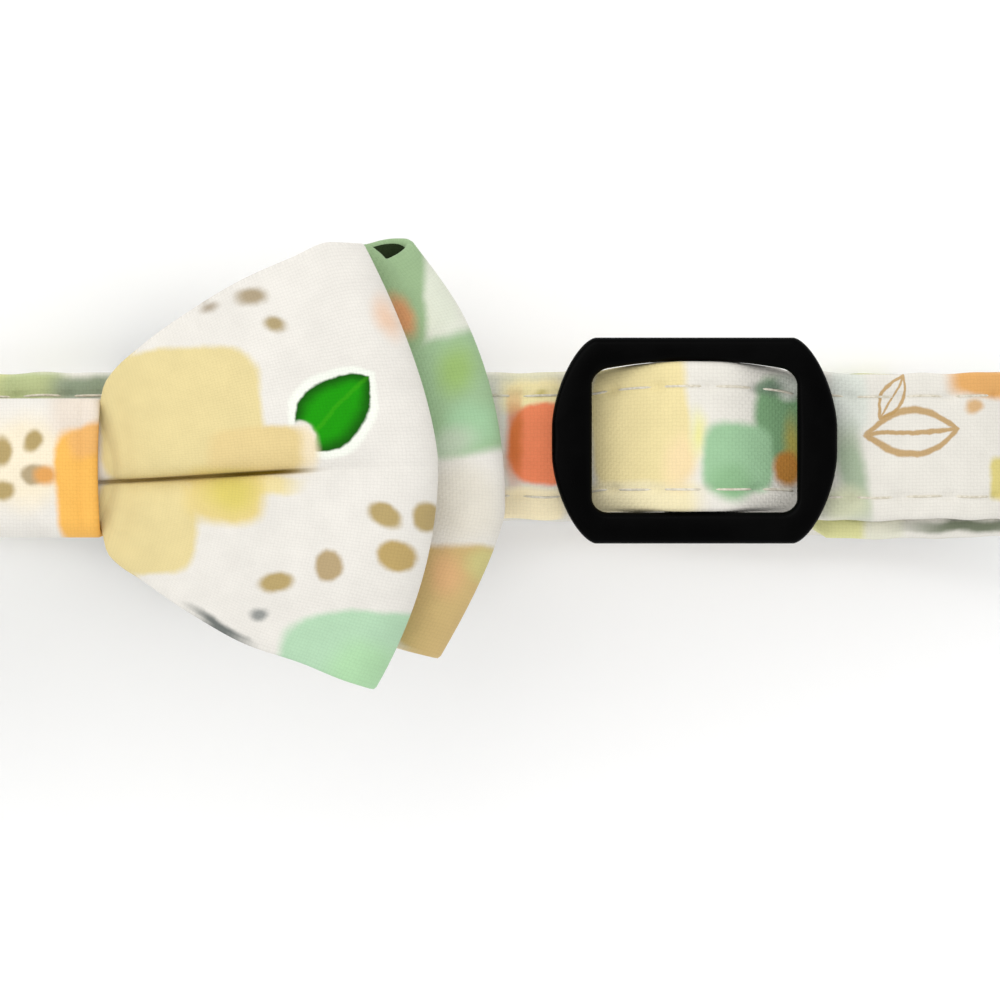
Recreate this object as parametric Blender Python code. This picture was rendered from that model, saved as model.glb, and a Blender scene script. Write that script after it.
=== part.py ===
"""Pet bow tie collar of the small size.

A closed loop of cotton-covered webbing carries a two-layer bow, a slider and a plain buckle. Metres,
+Z up. The loop lies on its back stretch: the neck passes along Y, the bow faces +Z and +X runs along
the collar from the bow to the slider. The origin is in the middle of the buckle's flat face, at z = 0.
"""

import math
from collections import namedtuple

import bmesh
import bpy

# Clearances
CLEARANCE = 0.0003
STRAP_SIDE_CLEARANCE = 0.00045

# Strap
STRAP_WIDTH = 0.0150
STRAP_THICK = 0.0018
STRAP_SELVEDGE = 0.0006
LOOP_SPAN = 0.1640
LOOP_HEIGHT = 0.0380
BEND_GATHERING = 0.5
RETURN_SHIFT = 0.0018
BUCKLE_TAB_LENGTH = 0.0130
SLIDER_TAB_LENGTH = 0.0090

# Slider, a moulded frame with a recessed middle bar
SLIDER_X = 0.0422
SLIDER_Y = 0.0006
SLIDER_THICK = 0.0030
SLIDER_SIDE_BAR = 0.0041
SLIDER_RAIL = 0.00255
SLIDER_WINDOW_LENGTH = 0.0209
SLIDER_END_BULGE = 0.0045
SLIDER_END_FLAT = 0.0030
SLIDER_CORNER_POWER = 1.6
SLIDER_WINDOW_RADIUS = 0.0016
SLIDER_EDGE = 0.0007
SLIDER_BAR_WIDTH = 0.0028
SLIDER_BAR_THICK = 0.0016
SLIDER_BAR_ROUNDING = 0.00056
SLIDER_CHEEK_FLAT = 0.0030
SLIDER_CHEEK_SLOPE = 0.0050
WEAVE_PROUD = 0.0005
WEAVE_FLAT = 0.0015

# Buckle
BUCKLE_LENGTH = 0.0360
BUCKLE_RAIL = 0.00255
BUCKLE_BAR_WIDTH = 0.0030
BUCKLE_BAR_THICK = 0.0024
BUCKLE_SLOT = 0.0036
BUCKLE_COVER = 0.0007
BUCKLE_CORNER = 0.0060
BUCKLE_WAIST = 0.0012
BUCKLE_WAIST_LENGTH = 0.0140
BUCKLE_EDGE = 0.0006
BAR_RAMP = 0.0080

# Bow
BOW_X = -0.0260
CLOTH = 0.0010
WRAP_LENGTH = 0.0150
WRAP_HEIGHT = 0.01415
WRAP_CENTRE_Y = -0.0022
WRAP_WALL = 0.0010
WRAP_FRONT_RADIUS = 0.0014
WRAP_REAR_RADIUS = 0.0005
LOBE_RISE = 0.0032
NEST_MARGIN = 0.0003
CREASE_Y = -0.0038
CREASE_END_Y = -0.0020
CREASE_WIDTH = 0.0022

# Back layer of the bow
BACK_REACH = 0.0484
BACK_FULLEST_Y = -0.0065
BACK_TOP_REACH = 0.0392
BACK_BOTTOM_REACH = 0.0419
BACK_TOP_POWER = 2.2
BACK_BOTTOM_POWER = 1.3
BACK_CENTRE_Y = 0.0
BACK_TOP = 0.0221
BACK_BOTTOM = 0.0216
BACK_HOLLOW = 0.0032
BACK_GAPE = 0.0018

# Front layer of the bow
FRONT_REACH = 0.0416
FRONT_FULLEST_Y = -0.0019
FRONT_TOP_REACH = 0.0342
FRONT_BOTTOM_REACH = 0.0354
FRONT_TOP_POWER = 1.5
FRONT_BOTTOM_POWER = 2.0
FRONT_CENTRE_Y = -0.0019
FRONT_TOP = 0.0231
FRONT_BOTTOM = 0.0228
FRONT_HOLLOW = 0.0036

# Elastic loops behind the wings
KEEPER_X = 0.0130
KEEPER_LENGTH = 0.0060
KEEPER_THICK = 0.0010
KEEPER_RADIUS = 0.0003

# The outline of one layer of the bow. reach: how far its wings reach. fullest: the height where they do.
# top_reach and bottom_reach: the same at the corners. top_power and bottom_power: how the end bends in
# to the corners, from 1 for a straight line. centre: the height of its middle line. top and bottom: how
# far the corners lie from that line.
Outline = namedtuple(
    "Outline", "reach fullest top_reach bottom_reach top_power bottom_power centre top bottom"
)
BACK_OUTLINE = Outline(
    reach=BACK_REACH,
    fullest=BACK_FULLEST_Y,
    top_reach=BACK_TOP_REACH,
    bottom_reach=BACK_BOTTOM_REACH,
    top_power=BACK_TOP_POWER,
    bottom_power=BACK_BOTTOM_POWER,
    centre=BACK_CENTRE_Y,
    top=BACK_TOP,
    bottom=BACK_BOTTOM,
)
FRONT_OUTLINE = Outline(
    reach=FRONT_REACH,
    fullest=FRONT_FULLEST_Y,
    top_reach=FRONT_TOP_REACH,
    bottom_reach=FRONT_BOTTOM_REACH,
    top_power=FRONT_TOP_POWER,
    bottom_power=FRONT_BOTTOM_POWER,
    centre=FRONT_CENTRE_Y,
    top=FRONT_TOP,
    bottom=FRONT_BOTTOM,
)

# How a layer is folded. edge: the column of WING_ROWS for its top edge. hollow: the depth inside its
# wings. rear_lift and front_lift: the share of the lobes' rise that its sheets take. gape: how far the
# front sheet's top edge drops below the rear one's.
Layer = namedtuple("Layer", "name outline edge hollow rear_lift front_lift gape")
BACK = Layer("bow_back", BACK_OUTLINE, "back_top", BACK_HOLLOW, 0.15, 0.40, BACK_GAPE)
FRONT = Layer("bow_front", FRONT_OUTLINE, "front_top", FRONT_HOLLOW, 0.55, 1.00, 0.0)

# A wing from its pinched middle to its end. along: share of the wing's reach at that height. back_top,
# front_top and bottom: the edge's height as a share of the corner's. hollow: share of the layer's hollow.
# lobe: share of LOBE_RISE. crease: how much of the lobe the crease between the two lobes takes away.
WingRow = namedtuple("WingRow", "along back_top front_top bottom hollow lobe crease")
WING_ROWS = (
    WingRow(0.000, 0.245, 0.245, 0.250, 0.00, 0.25, 0.80),
    WingRow(0.150, 0.245, 0.245, 0.250, 0.00, 0.25, 0.80),
    WingRow(0.222, 0.245, 0.245, 0.250, 0.04, 0.27, 0.85),
    WingRow(0.250, 0.370, 0.385, 0.392, 0.22, 0.70, 0.92),
    WingRow(0.350, 0.540, 0.533, 0.512, 0.55, 1.00, 0.90),
    WingRow(0.500, 0.700, 0.688, 0.676, 0.82, 0.95, 0.75),
    WingRow(0.650, 0.810, 0.815, 0.806, 0.95, 0.80, 0.55),
    WingRow(0.800, 0.890, 0.913, 0.884, 1.00, 0.62, 0.35),
    WingRow(0.920, 0.950, 0.982, 0.960, 0.97, 0.48, 0.22),
    WingRow(1.000, 0.990, 0.975, 1.000, 0.88, 0.40, 0.15),
)

# Shares of a wing's reach: where it leaves the centre wrap, where its front sheet's top edge starts to
# gape and where its end fold starts. The eases are the lengths over which its middle line reaches the
# layer's own and over which the layers part.
WING_FREE = 0.222
GAPE_START = 0.72
FOLD_START = 0.92
CENTRE_EASE = 0.5
NEST_EASE = 0.5

# The surfaces
Finish = namedtuple("Finish", "name colour roughness")
FINISHES = (
    Finish("printed_cotton", (0.86, 0.83, 0.76), 0.9),
    Finish("strap_cotton", (0.86, 0.80, 0.62), 0.9),
    Finish("wrap_cotton", (0.90, 0.74, 0.50), 0.9),
    Finish("elastic", (0.80, 0.79, 0.76), 0.85),
    Finish("black_plastic", (0.008, 0.008, 0.008), 0.35),
)

# Mesh steps
BEND_STEPS = 16
BEND_FINE_STEPS = 8
TURN_STEPS = 8
WEAVE_STEPS = 14
RAMP_STEPS = 6
STRAIGHT_STEP = 0.0130
ALONG_STATIONS = (0.0, 0.15, 0.222, 0.236, 0.25, 0.29, 0.35, 0.42, 0.5, 0.6, 0.7, 0.82, 0.92)
FOLD_STEPS = 3
ACROSS_STATIONS = (-1.0, -0.8, -0.55, -0.32, -0.15, 0.0, 0.15, 0.32, 0.55, 0.8, 1.0)
CORNER_STEPS = 4
SLIDER_CORNER_STEPS = 6
WAIST_STEPS = 8
BEVEL_STEPS = 2
SMOOTH_ANGLE = 40
BEVEL_ANGLE = 60

# Heights worked out from the sizes above
FLOOR_Z = STRAP_THICK / 2
TOP_Z = LOOP_HEIGHT - STRAP_THICK / 2
STRAP_STEP = STRAP_THICK + CLEARANCE
STRAP_FACE_Z = TOP_Z + STRAP_THICK / 2
SLOT_WIDTH = STRAP_WIDTH + 2 * STRAP_SIDE_CLEARANCE
SLIDER_BOTTOM_Z = STRAP_FACE_Z + CLEARANCE
SLIDER_TOP_Z = SLIDER_BOTTOM_Z + SLIDER_THICK
SLIDER_BAR_TOP_Z = SLIDER_TOP_Z + WEAVE_PROUD - 2 * STRAP_STEP
SLIDER_BAR_Z = SLIDER_BAR_TOP_Z - SLIDER_BAR_THICK / 2
WEAVE_LIFT = SLIDER_TOP_Z + WEAVE_PROUD - STRAP_THICK / 2 - TOP_Z
SLIDER_LENGTH = SLIDER_WINDOW_LENGTH + 2 * SLIDER_SIDE_BAR
SLIDER_WIDTH = SLOT_WIDTH + 2 * SLIDER_RAIL
BUCKLE_BAR_Z = STRAP_STEP + BUCKLE_BAR_THICK / 2
BUCKLE_THICK = STRAP_STEP + BUCKLE_BAR_THICK + STRAP_STEP + BUCKLE_COVER
BUCKLE_WIDTH = SLOT_WIDTH + 2 * BUCKLE_RAIL
SHEET_STEP = CLOTH + CLEARANCE
BOW_REAR_Z = STRAP_FACE_Z + 2 * CLEARANCE + max(WRAP_WALL, KEEPER_THICK) + CLOTH / 2


def smooth(share):
    """0 up to 0 and 1 from 1 on, with an eased step between."""
    share = min(max(share, 0.0), 1.0)
    return share * share * (3.0 - 2.0 * share)


def row_value(column, along):
    """A column of WING_ROWS at any share of the reach, as a curve that overshoots no row."""
    xs = [row.along for row in WING_ROWS]
    ys = [getattr(row, column) for row in WING_ROWS]
    along = min(max(along, xs[0]), xs[-1])
    slopes = [(ys[i + 1] - ys[i]) / (xs[i + 1] - xs[i]) for i in range(len(xs) - 1)]

    def tangent(i):
        if i == 0 or i == len(xs) - 1:
            return slopes[min(i, len(slopes) - 1)]
        before, after = slopes[i - 1], slopes[i]
        return 0.0 if before * after <= 0.0 else 2.0 * before * after / (before + after)

    i = max(k for k in range(len(xs) - 1) if xs[k] <= along)
    span = xs[i + 1] - xs[i]
    t = (along - xs[i]) / span
    return (
        ys[i] * (1 + 2 * t) * (1 - t) ** 2
        + span * tangent(i) * t * (1 - t) ** 2
        + ys[i + 1] * t * t * (3 - 2 * t)
        + span * tangent(i + 1) * t * t * (t - 1)
    )


def material(name, colour, roughness):
    """A plain surface of one colour."""
    made = bpy.data.materials.new(name)
    made.use_nodes = True
    shader = made.node_tree.nodes["Principled BSDF"]
    shader.inputs["Base Color"].default_value = (*colour, 1.0)
    shader.inputs["Roughness"].default_value = roughness
    shader.inputs["Metallic"].default_value = 0.0
    return made


def new_object(name, points, faces, surface):
    """An object of this mesh, with its faces turned outwards."""
    mesh = bpy.data.meshes.new(name)
    mesh.from_pydata(points, [], faces)
    shell = bmesh.new()
    shell.from_mesh(mesh)
    bmesh.ops.recalc_face_normals(shell, faces=shell.faces)
    shell.to_mesh(mesh)
    shell.free()
    mesh.shade_smooth()
    mesh.set_sharp_from_angle(angle=math.radians(SMOOTH_ANGLE))
    if surface:
        mesh.materials.append(surface)
    made = bpy.data.objects.new(name, mesh)
    bpy.context.collection.objects.link(made)
    return made


def ring_faces(rings, around, closed):
    """Quads between neighbouring rings of points. A row that isn't closed gets a cap at each end."""
    faces = []
    for i in range(rings if closed else rings - 1):
        first, second = i * around, (i + 1) % rings * around
        for k in range(around):
            after = (k + 1) % around
            faces.append((first + k, second + k, second + after, first + after))
    if not closed:
        faces.append(tuple(range(around)))
        faces.append(tuple(range((rings - 1) * around, rings * around)))
    return faces


def spaced(start, end, step):
    """Values from just after start up to end, no further than step apart."""
    count = max(1, math.ceil(abs(end - start) / step))
    return [start + (end - start) * i / count for i in range(1, count + 1)]


def end_bend():
    """Outward and upward places along one end bend, from the bottom stretch to the top one.

    The strap turns evenly, apart from the share BEND_GATHERING of the turn, which gathers in the middle.
    """
    points = [(0.0, 0.0)]
    for step in range(BEND_STEPS * BEND_FINE_STEPS):
        share = (step + 0.5) / (BEND_STEPS * BEND_FINE_STEPS)
        turned = math.pi * share - BEND_GATHERING * math.sin(2 * math.pi * share) / 2
        points.append((points[-1][0] + math.cos(turned), points[-1][1] + math.sin(turned)))
    scale = (TOP_Z - FLOOR_Z) / points[-1][1]
    return [(out * scale, up * scale) for out, up in points[::BEND_FINE_STEPS]]


def inward(course, distance):
    """The course moved towards the inside of the loop, which it follows clockwise as seen from -Y."""
    moved = []
    for i, (x, z) in enumerate(course):
        before = course[max(i - 1, 0)]
        after = course[min(i + 1, len(course) - 1)]
        along_x, along_z = after[0] - before[0], after[1] - before[1]
        length = math.hypot(along_x, along_z)
        moved.append((x + along_z / length * distance, z - along_x / length * distance))
    return moved


def bar_turn():
    """The strap's half turn round the buckle's right bar, from under it to over it."""
    radius = BUCKLE_BAR_THICK / 2 + CLEARANCE + STRAP_THICK / 2
    turn_x = BUCKLE_LENGTH / 2 - BUCKLE_BAR_WIDTH - CLEARANCE - STRAP_THICK / 2 + radius
    angles = [math.pi * step / TURN_STEPS for step in range(TURN_STEPS + 1)]
    return [
        (turn_x - radius * math.sin(angle), BUCKLE_BAR_Z - radius * math.cos(angle)) for angle in angles
    ]


def bar_ramp(end_x):
    """The strap's inner layer beside the buckle, from over the right bar down to the layer below."""
    high = bar_turn()[-1]
    start_x = BUCKLE_LENGTH / 2
    low_z = FLOOR_Z + STRAP_STEP
    points = []
    for x in spaced(high[0], start_x + BAR_RAMP, BAR_RAMP / RAMP_STEPS):
        share = smooth((x - start_x) / BAR_RAMP)
        points.append((x, high[1] + (low_z - high[1]) * share))
    return points + [(x, low_z) for x in spaced(points[-1][0], end_x, STRAIGHT_STEP)]


def weave_z(x):
    """Height of the strap's outer layer, which rises over the slider's middle bar."""
    slope = SLIDER_WINDOW_LENGTH / 2 - WEAVE_FLAT
    return TOP_Z + WEAVE_LIFT * (1.0 - smooth((abs(x - SLIDER_X) - WEAVE_FLAT) / slope))


def sideways(x, outside):
    """How far the strap lies to the side: with the slider in its window, and by outside beyond it."""
    cheek = SLIDER_CHEEK_FLAT + SLIDER_CHEEK_SLOPE
    share = smooth((abs(x - SLIDER_X) - cheek) / (SLIDER_LENGTH / 2 - cheek))
    return SLIDER_Y + (outside - SLIDER_Y) * share


def slider_turn():
    """The return layer's end: round the slider's middle bar and back under itself as a sewn tab."""
    radius = SLIDER_BAR_THICK / 2 + CLEARANCE + STRAP_THICK / 2
    turn_x = SLIDER_X - SLIDER_BAR_WIDTH / 2 - CLEARANCE - STRAP_THICK / 2 + radius
    angles = [math.pi * step / TURN_STEPS for step in range(TURN_STEPS + 1)]
    turn = [(turn_x - radius * math.sin(a), SLIDER_BAR_Z + radius * math.cos(a)) for a in angles]
    tab_z = TOP_Z - 2 * STRAP_STEP
    slope = SLIDER_WINDOW_LENGTH / 2 - WEAVE_FLAT
    tab = []
    for x in spaced(turn_x, turn_x + slope, slope / RAMP_STEPS):
        share = smooth((x - turn_x) / slope)
        tab.append((x, turn[-1][1] + (tab_z - turn[-1][1]) * share))
    end_x = SLIDER_X + SLIDER_LENGTH / 2 + SLIDER_TAB_LENGTH
    return turn + tab + [(x, tab_z) for x in spaced(tab[-1][0], end_x, STRAIGHT_STEP)]


def strap_course():
    """Middle of the whole strap as (x, z, sideways shift), from one sewn tab to the other."""
    bend = end_bend()
    bend_x = LOOP_SPAN / 2 - STRAP_THICK / 2 - max(out for out, up in bend)
    turn = bar_turn()
    tab_x = BUCKLE_LENGTH / 2 + BUCKLE_TAB_LENGTH

    buckle_tab = [(-x, z) for x, z in reversed(turn[1:] + bar_ramp(tab_x))]
    left = [(-turn[0][0], turn[0][1])]
    left += [(-x, FLOOR_Z) for x in spaced(turn[0][0], bend_x, STRAIGHT_STEP)]
    left += [(-bend_x - out, FLOOR_Z + up) for out, up in bend[1:]]

    weave_start = SLIDER_X - SLIDER_WINDOW_LENGTH / 2
    weave_end = SLIDER_X + SLIDER_WINDOW_LENGTH / 2
    slider_start = SLIDER_X - SLIDER_LENGTH / 2
    top = [(x, TOP_Z) for x in spaced(-bend_x, slider_start, STRAIGHT_STEP) + [weave_start]]
    weave_step = SLIDER_WINDOW_LENGTH / WEAVE_STEPS
    top += [(x, weave_z(x)) for x in spaced(weave_start, weave_end, weave_step)]

    right = [(x, TOP_Z) for x in spaced(weave_end, bend_x, STRAIGHT_STEP)]
    right += [(bend_x + out, FLOOR_Z + up) for out, up in reversed(bend[:-1])]
    to_buckle = [(x, FLOOR_Z) for x in spaced(bend_x, turn[0][0], STRAIGHT_STEP)]
    outer = [(x, z, 0.0) for x, z in buckle_tab + left]
    outer += [(x, z, sideways(x, 0.0)) for x, z in top + right[:1]]
    outer += [(x, z, 0.0) for x, z in right[1:] + to_buckle + turn[1:]]

    returning = []
    ramp = bar_ramp(bend_x)
    for x, z in ramp:
        start_x = BUCKLE_LENGTH / 2 + BAR_RAMP
        share = smooth((x - start_x) / (bend_x - start_x))
        returning.append((x, z, -RETURN_SHIFT * share))
    inner = inward([(bend_x + out, FLOOR_Z + up) for out, up in reversed(bend)], STRAP_STEP)
    returning += [(x, z, -RETURN_SHIFT) for x, z in list(reversed(inner))[1:]]
    end_turn = slider_turn()
    weave = [(x, weave_z(x)) for x in spaced(weave_start, weave_end, weave_step)]
    weave += [(x, TOP_Z) for x in spaced(weave_end, bend_x, STRAIGHT_STEP)]
    under = [point for point in inward(weave, STRAP_STEP) if point[0] > end_turn[0][0] + WEAVE_FLAT / 2]
    returning += [(x, z, sideways(x, -RETURN_SHIFT)) for x, z in list(reversed(under[:-1])) + end_turn]
    return outer + returning


def build_strap(surface):
    """One length of webbing with thinner selvedges."""
    course = strap_course()
    half_width, half_thick = STRAP_WIDTH / 2, STRAP_THICK / 2
    section = (
        (-half_width, 0.0),
        (-half_width + STRAP_SELVEDGE, half_thick),
        (half_width - STRAP_SELVEDGE, half_thick),
        (half_width, 0.0),
        (half_width - STRAP_SELVEDGE, -half_thick),
        (-half_width + STRAP_SELVEDGE, -half_thick),
    )
    points = []
    for i, (x, z, shift) in enumerate(course):
        before = course[max(i - 1, 0)]
        after = course[min(i + 1, len(course) - 1)]
        along_x, along_z = after[0] - before[0], after[1] - before[1]
        length = math.hypot(along_x, along_z)
        for side, out in section:
            points.append((x - along_z / length * out, side + shift, z + along_x / length * out))
    return new_object("strap", points, ring_faces(len(course), len(section), closed=False), surface)


def rounded_corners(low, high, radii):
    """Points round a rectangle, anticlockwise, with a radius for its corners at the low and high side."""
    corners = (
        (low[0], low[1], radii[0], 180.0),
        (high[0], low[1], radii[0], 270.0),
        (high[0], high[1], radii[1], 0.0),
        (low[0], high[1], radii[1], 90.0),
    )
    points = []
    for x, y, radius, start in corners:
        centre_x = x + radius if x == low[0] else x - radius
        centre_y = y + radius if y == low[1] else y - radius
        for step in range(CORNER_STEPS + 1):
            angle = math.radians(start + 90.0 * step / CORNER_STEPS)
            points.append((centre_x + radius * math.cos(angle), centre_y + radius * math.sin(angle)))
    return points


def build_sleeve(name, centre_x, length, low, high, wall, radii, surface):
    """A band closed round the X axis. low and high are the (y, z) corners of the space inside it."""
    inside = rounded_corners(low, high, radii)
    outer_low = (low[0] - wall, low[1] - wall)
    outer_high = (high[0] + wall, high[1] + wall)
    outside = rounded_corners(outer_low, outer_high, (radii[0] + wall, radii[1] + wall))
    left, right = centre_x - length / 2, centre_x + length / 2
    points = []
    for (inner_y, inner_z), (outer_y, outer_z) in zip(inside, outside):
        points += [
            (left, inner_y, inner_z),
            (left, outer_y, outer_z),
            (right, outer_y, outer_z),
            (right, inner_y, inner_z),
        ]
    return new_object(name, points, ring_faces(len(inside), 4, closed=True), surface)


def end_reach(outline, across):
    """How far the wing reaches at this height, from -1 at its bottom corner to 1 at its top corner."""
    height = outline.centre + across * (outline.top if across > 0 else outline.bottom)
    above = height > outline.fullest
    corner = outline.centre + (outline.top if above else -outline.bottom)
    corner_reach = outline.top_reach if above else outline.bottom_reach
    power = outline.top_power if above else outline.bottom_power
    share = (height - outline.fullest) / (corner - outline.fullest)
    return outline.reach - (outline.reach - corner_reach) * share**power


def lobes(along, across, x, y):
    """Rise of the cloth into two lobes with the crease between them."""
    crease_y = CREASE_Y + (CREASE_END_Y - CREASE_Y) * smooth(x / FRONT_OUTLINE.reach)
    dip = row_value("crease", along) * math.exp(-(((y - crease_y) / CREASE_WIDTH) ** 2))
    return LOBE_RISE * row_value("lobe", along) * (1.0 - across**2) * (1.0 - dip)


def wing_point(layer, along, across, sheet):
    """A point in the middle of the cloth of the right wing, from the bow's centre.

    sheet is -1 for the rear sheet and 1 for the front one. They meet in the fold at the wing's end.
    """
    outline = layer.outline
    x = along * end_reach(outline, across)
    share = row_value(layer.edge if across > 0 else "bottom", along)
    corner = outline.top if across > 0 else outline.bottom
    centre = WRAP_CENTRE_Y + (outline.centre - WRAP_CENTRE_Y) * smooth((along - WING_FREE) / CENTRE_EASE)
    y = centre + across * share * corner
    rise = lobes(along, across, x, y)
    if sheet > 0 and across > 0 and along > GAPE_START:
        opening = math.sin(math.pi * (along - GAPE_START) / (1.0 - GAPE_START)) ** 2
        y -= layer.gape * opening * across**2

    base = BOW_REAR_Z
    if layer is FRONT:
        back_along = x / end_reach(BACK_OUTLINE, across)
        base += 2 * SHEET_STEP + BACK.hollow * row_value("hollow", back_along)
        base += NEST_MARGIN * smooth(along / NEST_EASE)
    rear = base + layer.rear_lift * rise
    front = base + SHEET_STEP + layer.hollow * row_value("hollow", along) + layer.front_lift * rise
    past_fold = max(0.0, (along - FOLD_START) / (1.0 - FOLD_START))
    closing = math.sqrt(max(0.0, 1.0 - past_fold**2))
    return x, y, (front + rear) / 2 + sheet * closing * (front - rear) / 2


def band_stations():
    """(side, along, sheet) all round a layer: over the front from wing to wing, then back behind."""
    turned = [math.sin(math.pi / 2 * k / FOLD_STEPS) for k in range(1, FOLD_STEPS)]
    out = list(ALONG_STATIONS) + [FOLD_START + (1.0 - FOLD_START) * share for share in turned]
    past_middle = out[1:]
    right = [(1, along, 1) for along in out] + [(1, 1.0, 1)]
    right += [(1, along, -1) for along in reversed(out)]
    left = [(-1, along, -1) for along in past_middle] + [(-1, 1.0, 1)]
    left += [(-1, along, 1) for along in reversed(past_middle)]
    return right + left


def build_layer(layer, surface):
    """A closed band of cloth pinched in the middle, with a hollow wing on each side."""
    middle = []
    for side, along, sheet in band_stations():
        ring = []
        for across in ACROSS_STATIONS:
            x, y, z = wing_point(layer, along, across, sheet)
            ring.append((BOW_X + side * x, y, z))
        middle.append(ring)

    count, last = len(middle), len(ACROSS_STATIONS) - 1
    outside, inside = [], []
    for i in range(count):
        for k in range(last + 1):
            ahead, behind = middle[(i + 1) % count][k], middle[i - 1][k]
            above, below = middle[i][min(k + 1, last)], middle[i][max(k - 1, 0)]
            along = [a - b for a, b in zip(ahead, behind)]
            across = [a - b for a, b in zip(above, below)]
            normal = (
                along[1] * across[2] - along[2] * across[1],
                along[2] * across[0] - along[0] * across[2],
                along[0] * across[1] - along[1] * across[0],
            )
            length = math.sqrt(sum(part**2 for part in normal))
            offset = [part / length * CLOTH / 2 for part in normal]
            point = middle[i][k]
            outside.append(tuple(p + o for p, o in zip(point, offset)))
            inside.append(tuple(p - o for p, o in zip(point, offset)))

    points = []
    for i in range(count):
        ring = slice(i * (last + 1), (i + 1) * (last + 1))
        points += outside[ring] + inside[ring][::-1]
    return new_object(layer.name, points, ring_faces(count, 2 * (last + 1), closed=True), surface)


def build_wrap(surface):
    """The cloth band round the pinched middle of both layers."""
    half = WRAP_HEIGHT / 2 - WRAP_WALL
    low_z = STRAP_FACE_Z + CLEARANCE + WRAP_WALL
    lobe_top = LOBE_RISE * row_value("lobe", 0.0)
    high_z = BOW_REAR_Z + 3 * SHEET_STEP + lobe_top + CLOTH / 2 + CLEARANCE
    low, high = (WRAP_CENTRE_Y - half, low_z), (WRAP_CENTRE_Y + half, high_z)
    radii = (WRAP_REAR_RADIUS, WRAP_FRONT_RADIUS)
    return build_sleeve("centre_wrap", BOW_X, WRAP_LENGTH, low, high, WRAP_WALL, radii, surface)


def build_keeper(name, side, surface):
    """An elastic loop round the strap, behind a wing."""
    half_width = STRAP_WIDTH / 2 + CLEARANCE
    half_thick = STRAP_THICK / 2 + CLEARANCE
    low, high = (-half_width, TOP_Z - half_thick), (half_width, TOP_Z + half_thick)
    radii = (KEEPER_RADIUS, KEEPER_RADIUS)
    centre_x = BOW_X + side * KEEPER_X
    return build_sleeve(name, centre_x, KEEPER_LENGTH, low, high, KEEPER_THICK, radii, surface)


def slider_stations():
    """Pairs of (outer, inner) places round the slider's frame, from its own middle."""
    half_length, half_width = SLIDER_LENGTH / 2, SLIDER_WIDTH / 2
    window_x, window_y = SLIDER_WINDOW_LENGTH / 2, SLOT_WIDTH / 2
    straight_x, straight_y = half_length - SLIDER_END_BULGE, SLIDER_END_FLAT / 2
    radius, power = SLIDER_WINDOW_RADIUS, SLIDER_CORNER_POWER
    corner = []
    for step in range(SLIDER_CORNER_STEPS + 1):
        angle = math.pi / 2 * step / SLIDER_CORNER_STEPS
        across, up = math.cos(angle) ** (2 / power), math.sin(angle) ** (2 / power)
        outer = (straight_x + SLIDER_END_BULGE * across, straight_y + (half_width - straight_y) * up)
        inner_x = window_x - radius + radius * math.cos(angle)
        inner_y = window_y - radius + radius * math.sin(angle)
        corner.append((outer, (inner_x, inner_y)))
    cheek = SLIDER_CHEEK_FLAT + SLIDER_CHEEK_SLOPE
    rail_x = [cheek, SLIDER_CHEEK_FLAT + SLIDER_CHEEK_SLOPE / 2, SLIDER_CHEEK_FLAT]
    quarter = corner + [((x, half_width), (x, window_y)) for x in rail_x]

    def turned(pairs, x_sign, y_sign):
        return [tuple((x * x_sign, y * y_sign) for x, y in pair) for pair in pairs]

    return (
        turned(quarter, 1, 1)
        + turned(quarter[::-1], -1, 1)
        + turned(quarter, -1, -1)
        + turned(quarter[::-1], 1, -1)
    )


def build_slider(surface):
    """A moulded frame with softened edges, whose rails deepen to carry the recessed middle bar."""
    edge, soft = SLIDER_EDGE, SLIDER_EDGE * (1 - math.sqrt(0.5))
    cheek_drop = SLIDER_BOTTOM_Z - (SLIDER_BAR_Z - SLIDER_BAR_THICK / 2)
    stations = slider_stations()
    points = []
    for (outer_x, outer_y), (inner_x, inner_y) in stations:
        deep = 1.0 - smooth((abs(outer_x) - SLIDER_CHEEK_FLAT) / SLIDER_CHEEK_SLOPE)
        low, high = SLIDER_BOTTOM_Z - cheek_drop * deep, SLIDER_TOP_Z
        wide = math.hypot(outer_x - inner_x, outer_y - inner_y)
        section = (
            (0.0, low + edge),
            (0.0, high - edge),
            (soft, high - soft),
            (edge, high),
            (wide - edge, high),
            (wide - soft, high - soft),
            (wide, high - edge),
            (wide, low + edge),
            (wide - soft, low + soft),
            (wide - edge, low),
            (edge, low),
            (soft, low + soft),
        )
        for inset, z in section:
            share = inset / wide
            x = outer_x + (inner_x - outer_x) * share
            y = outer_y + (inner_y - outer_y) * share
            points.append((SLIDER_X + x, SLIDER_Y + y, z))
    frame = new_object("slider", points, ring_faces(len(stations), len(section), closed=True), surface)

    half_width, half_thick = SLIDER_BAR_WIDTH / 2, SLIDER_BAR_THICK / 2
    low = (SLIDER_X - half_width, SLIDER_BAR_Z - half_thick)
    high = (SLIDER_X + half_width, SLIDER_BAR_Z + half_thick)
    round_bar = rounded_corners(low, high, (SLIDER_BAR_ROUNDING, SLIDER_BAR_ROUNDING))
    bar_end = SLOT_WIDTH / 2 + SLIDER_RAIL / 2
    points = [(x, SLIDER_Y + y, z) for y in (-bar_end, bar_end) for x, z in round_bar]
    bar = new_object("slider_bar_tool", points, ring_faces(2, len(round_bar), closed=False), None)
    join_tool(frame, bar, "UNION")
    return frame


def join_tool(target, tool, operation):
    """Adds a hidden tool to the target, or cuts it away."""
    boolean = target.modifiers.new(tool.name, "BOOLEAN")
    boolean.operation = operation
    boolean.solver = "EXACT"
    boolean.object = tool
    tool.hide_render = True
    tool.display_type = "WIRE"


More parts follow.
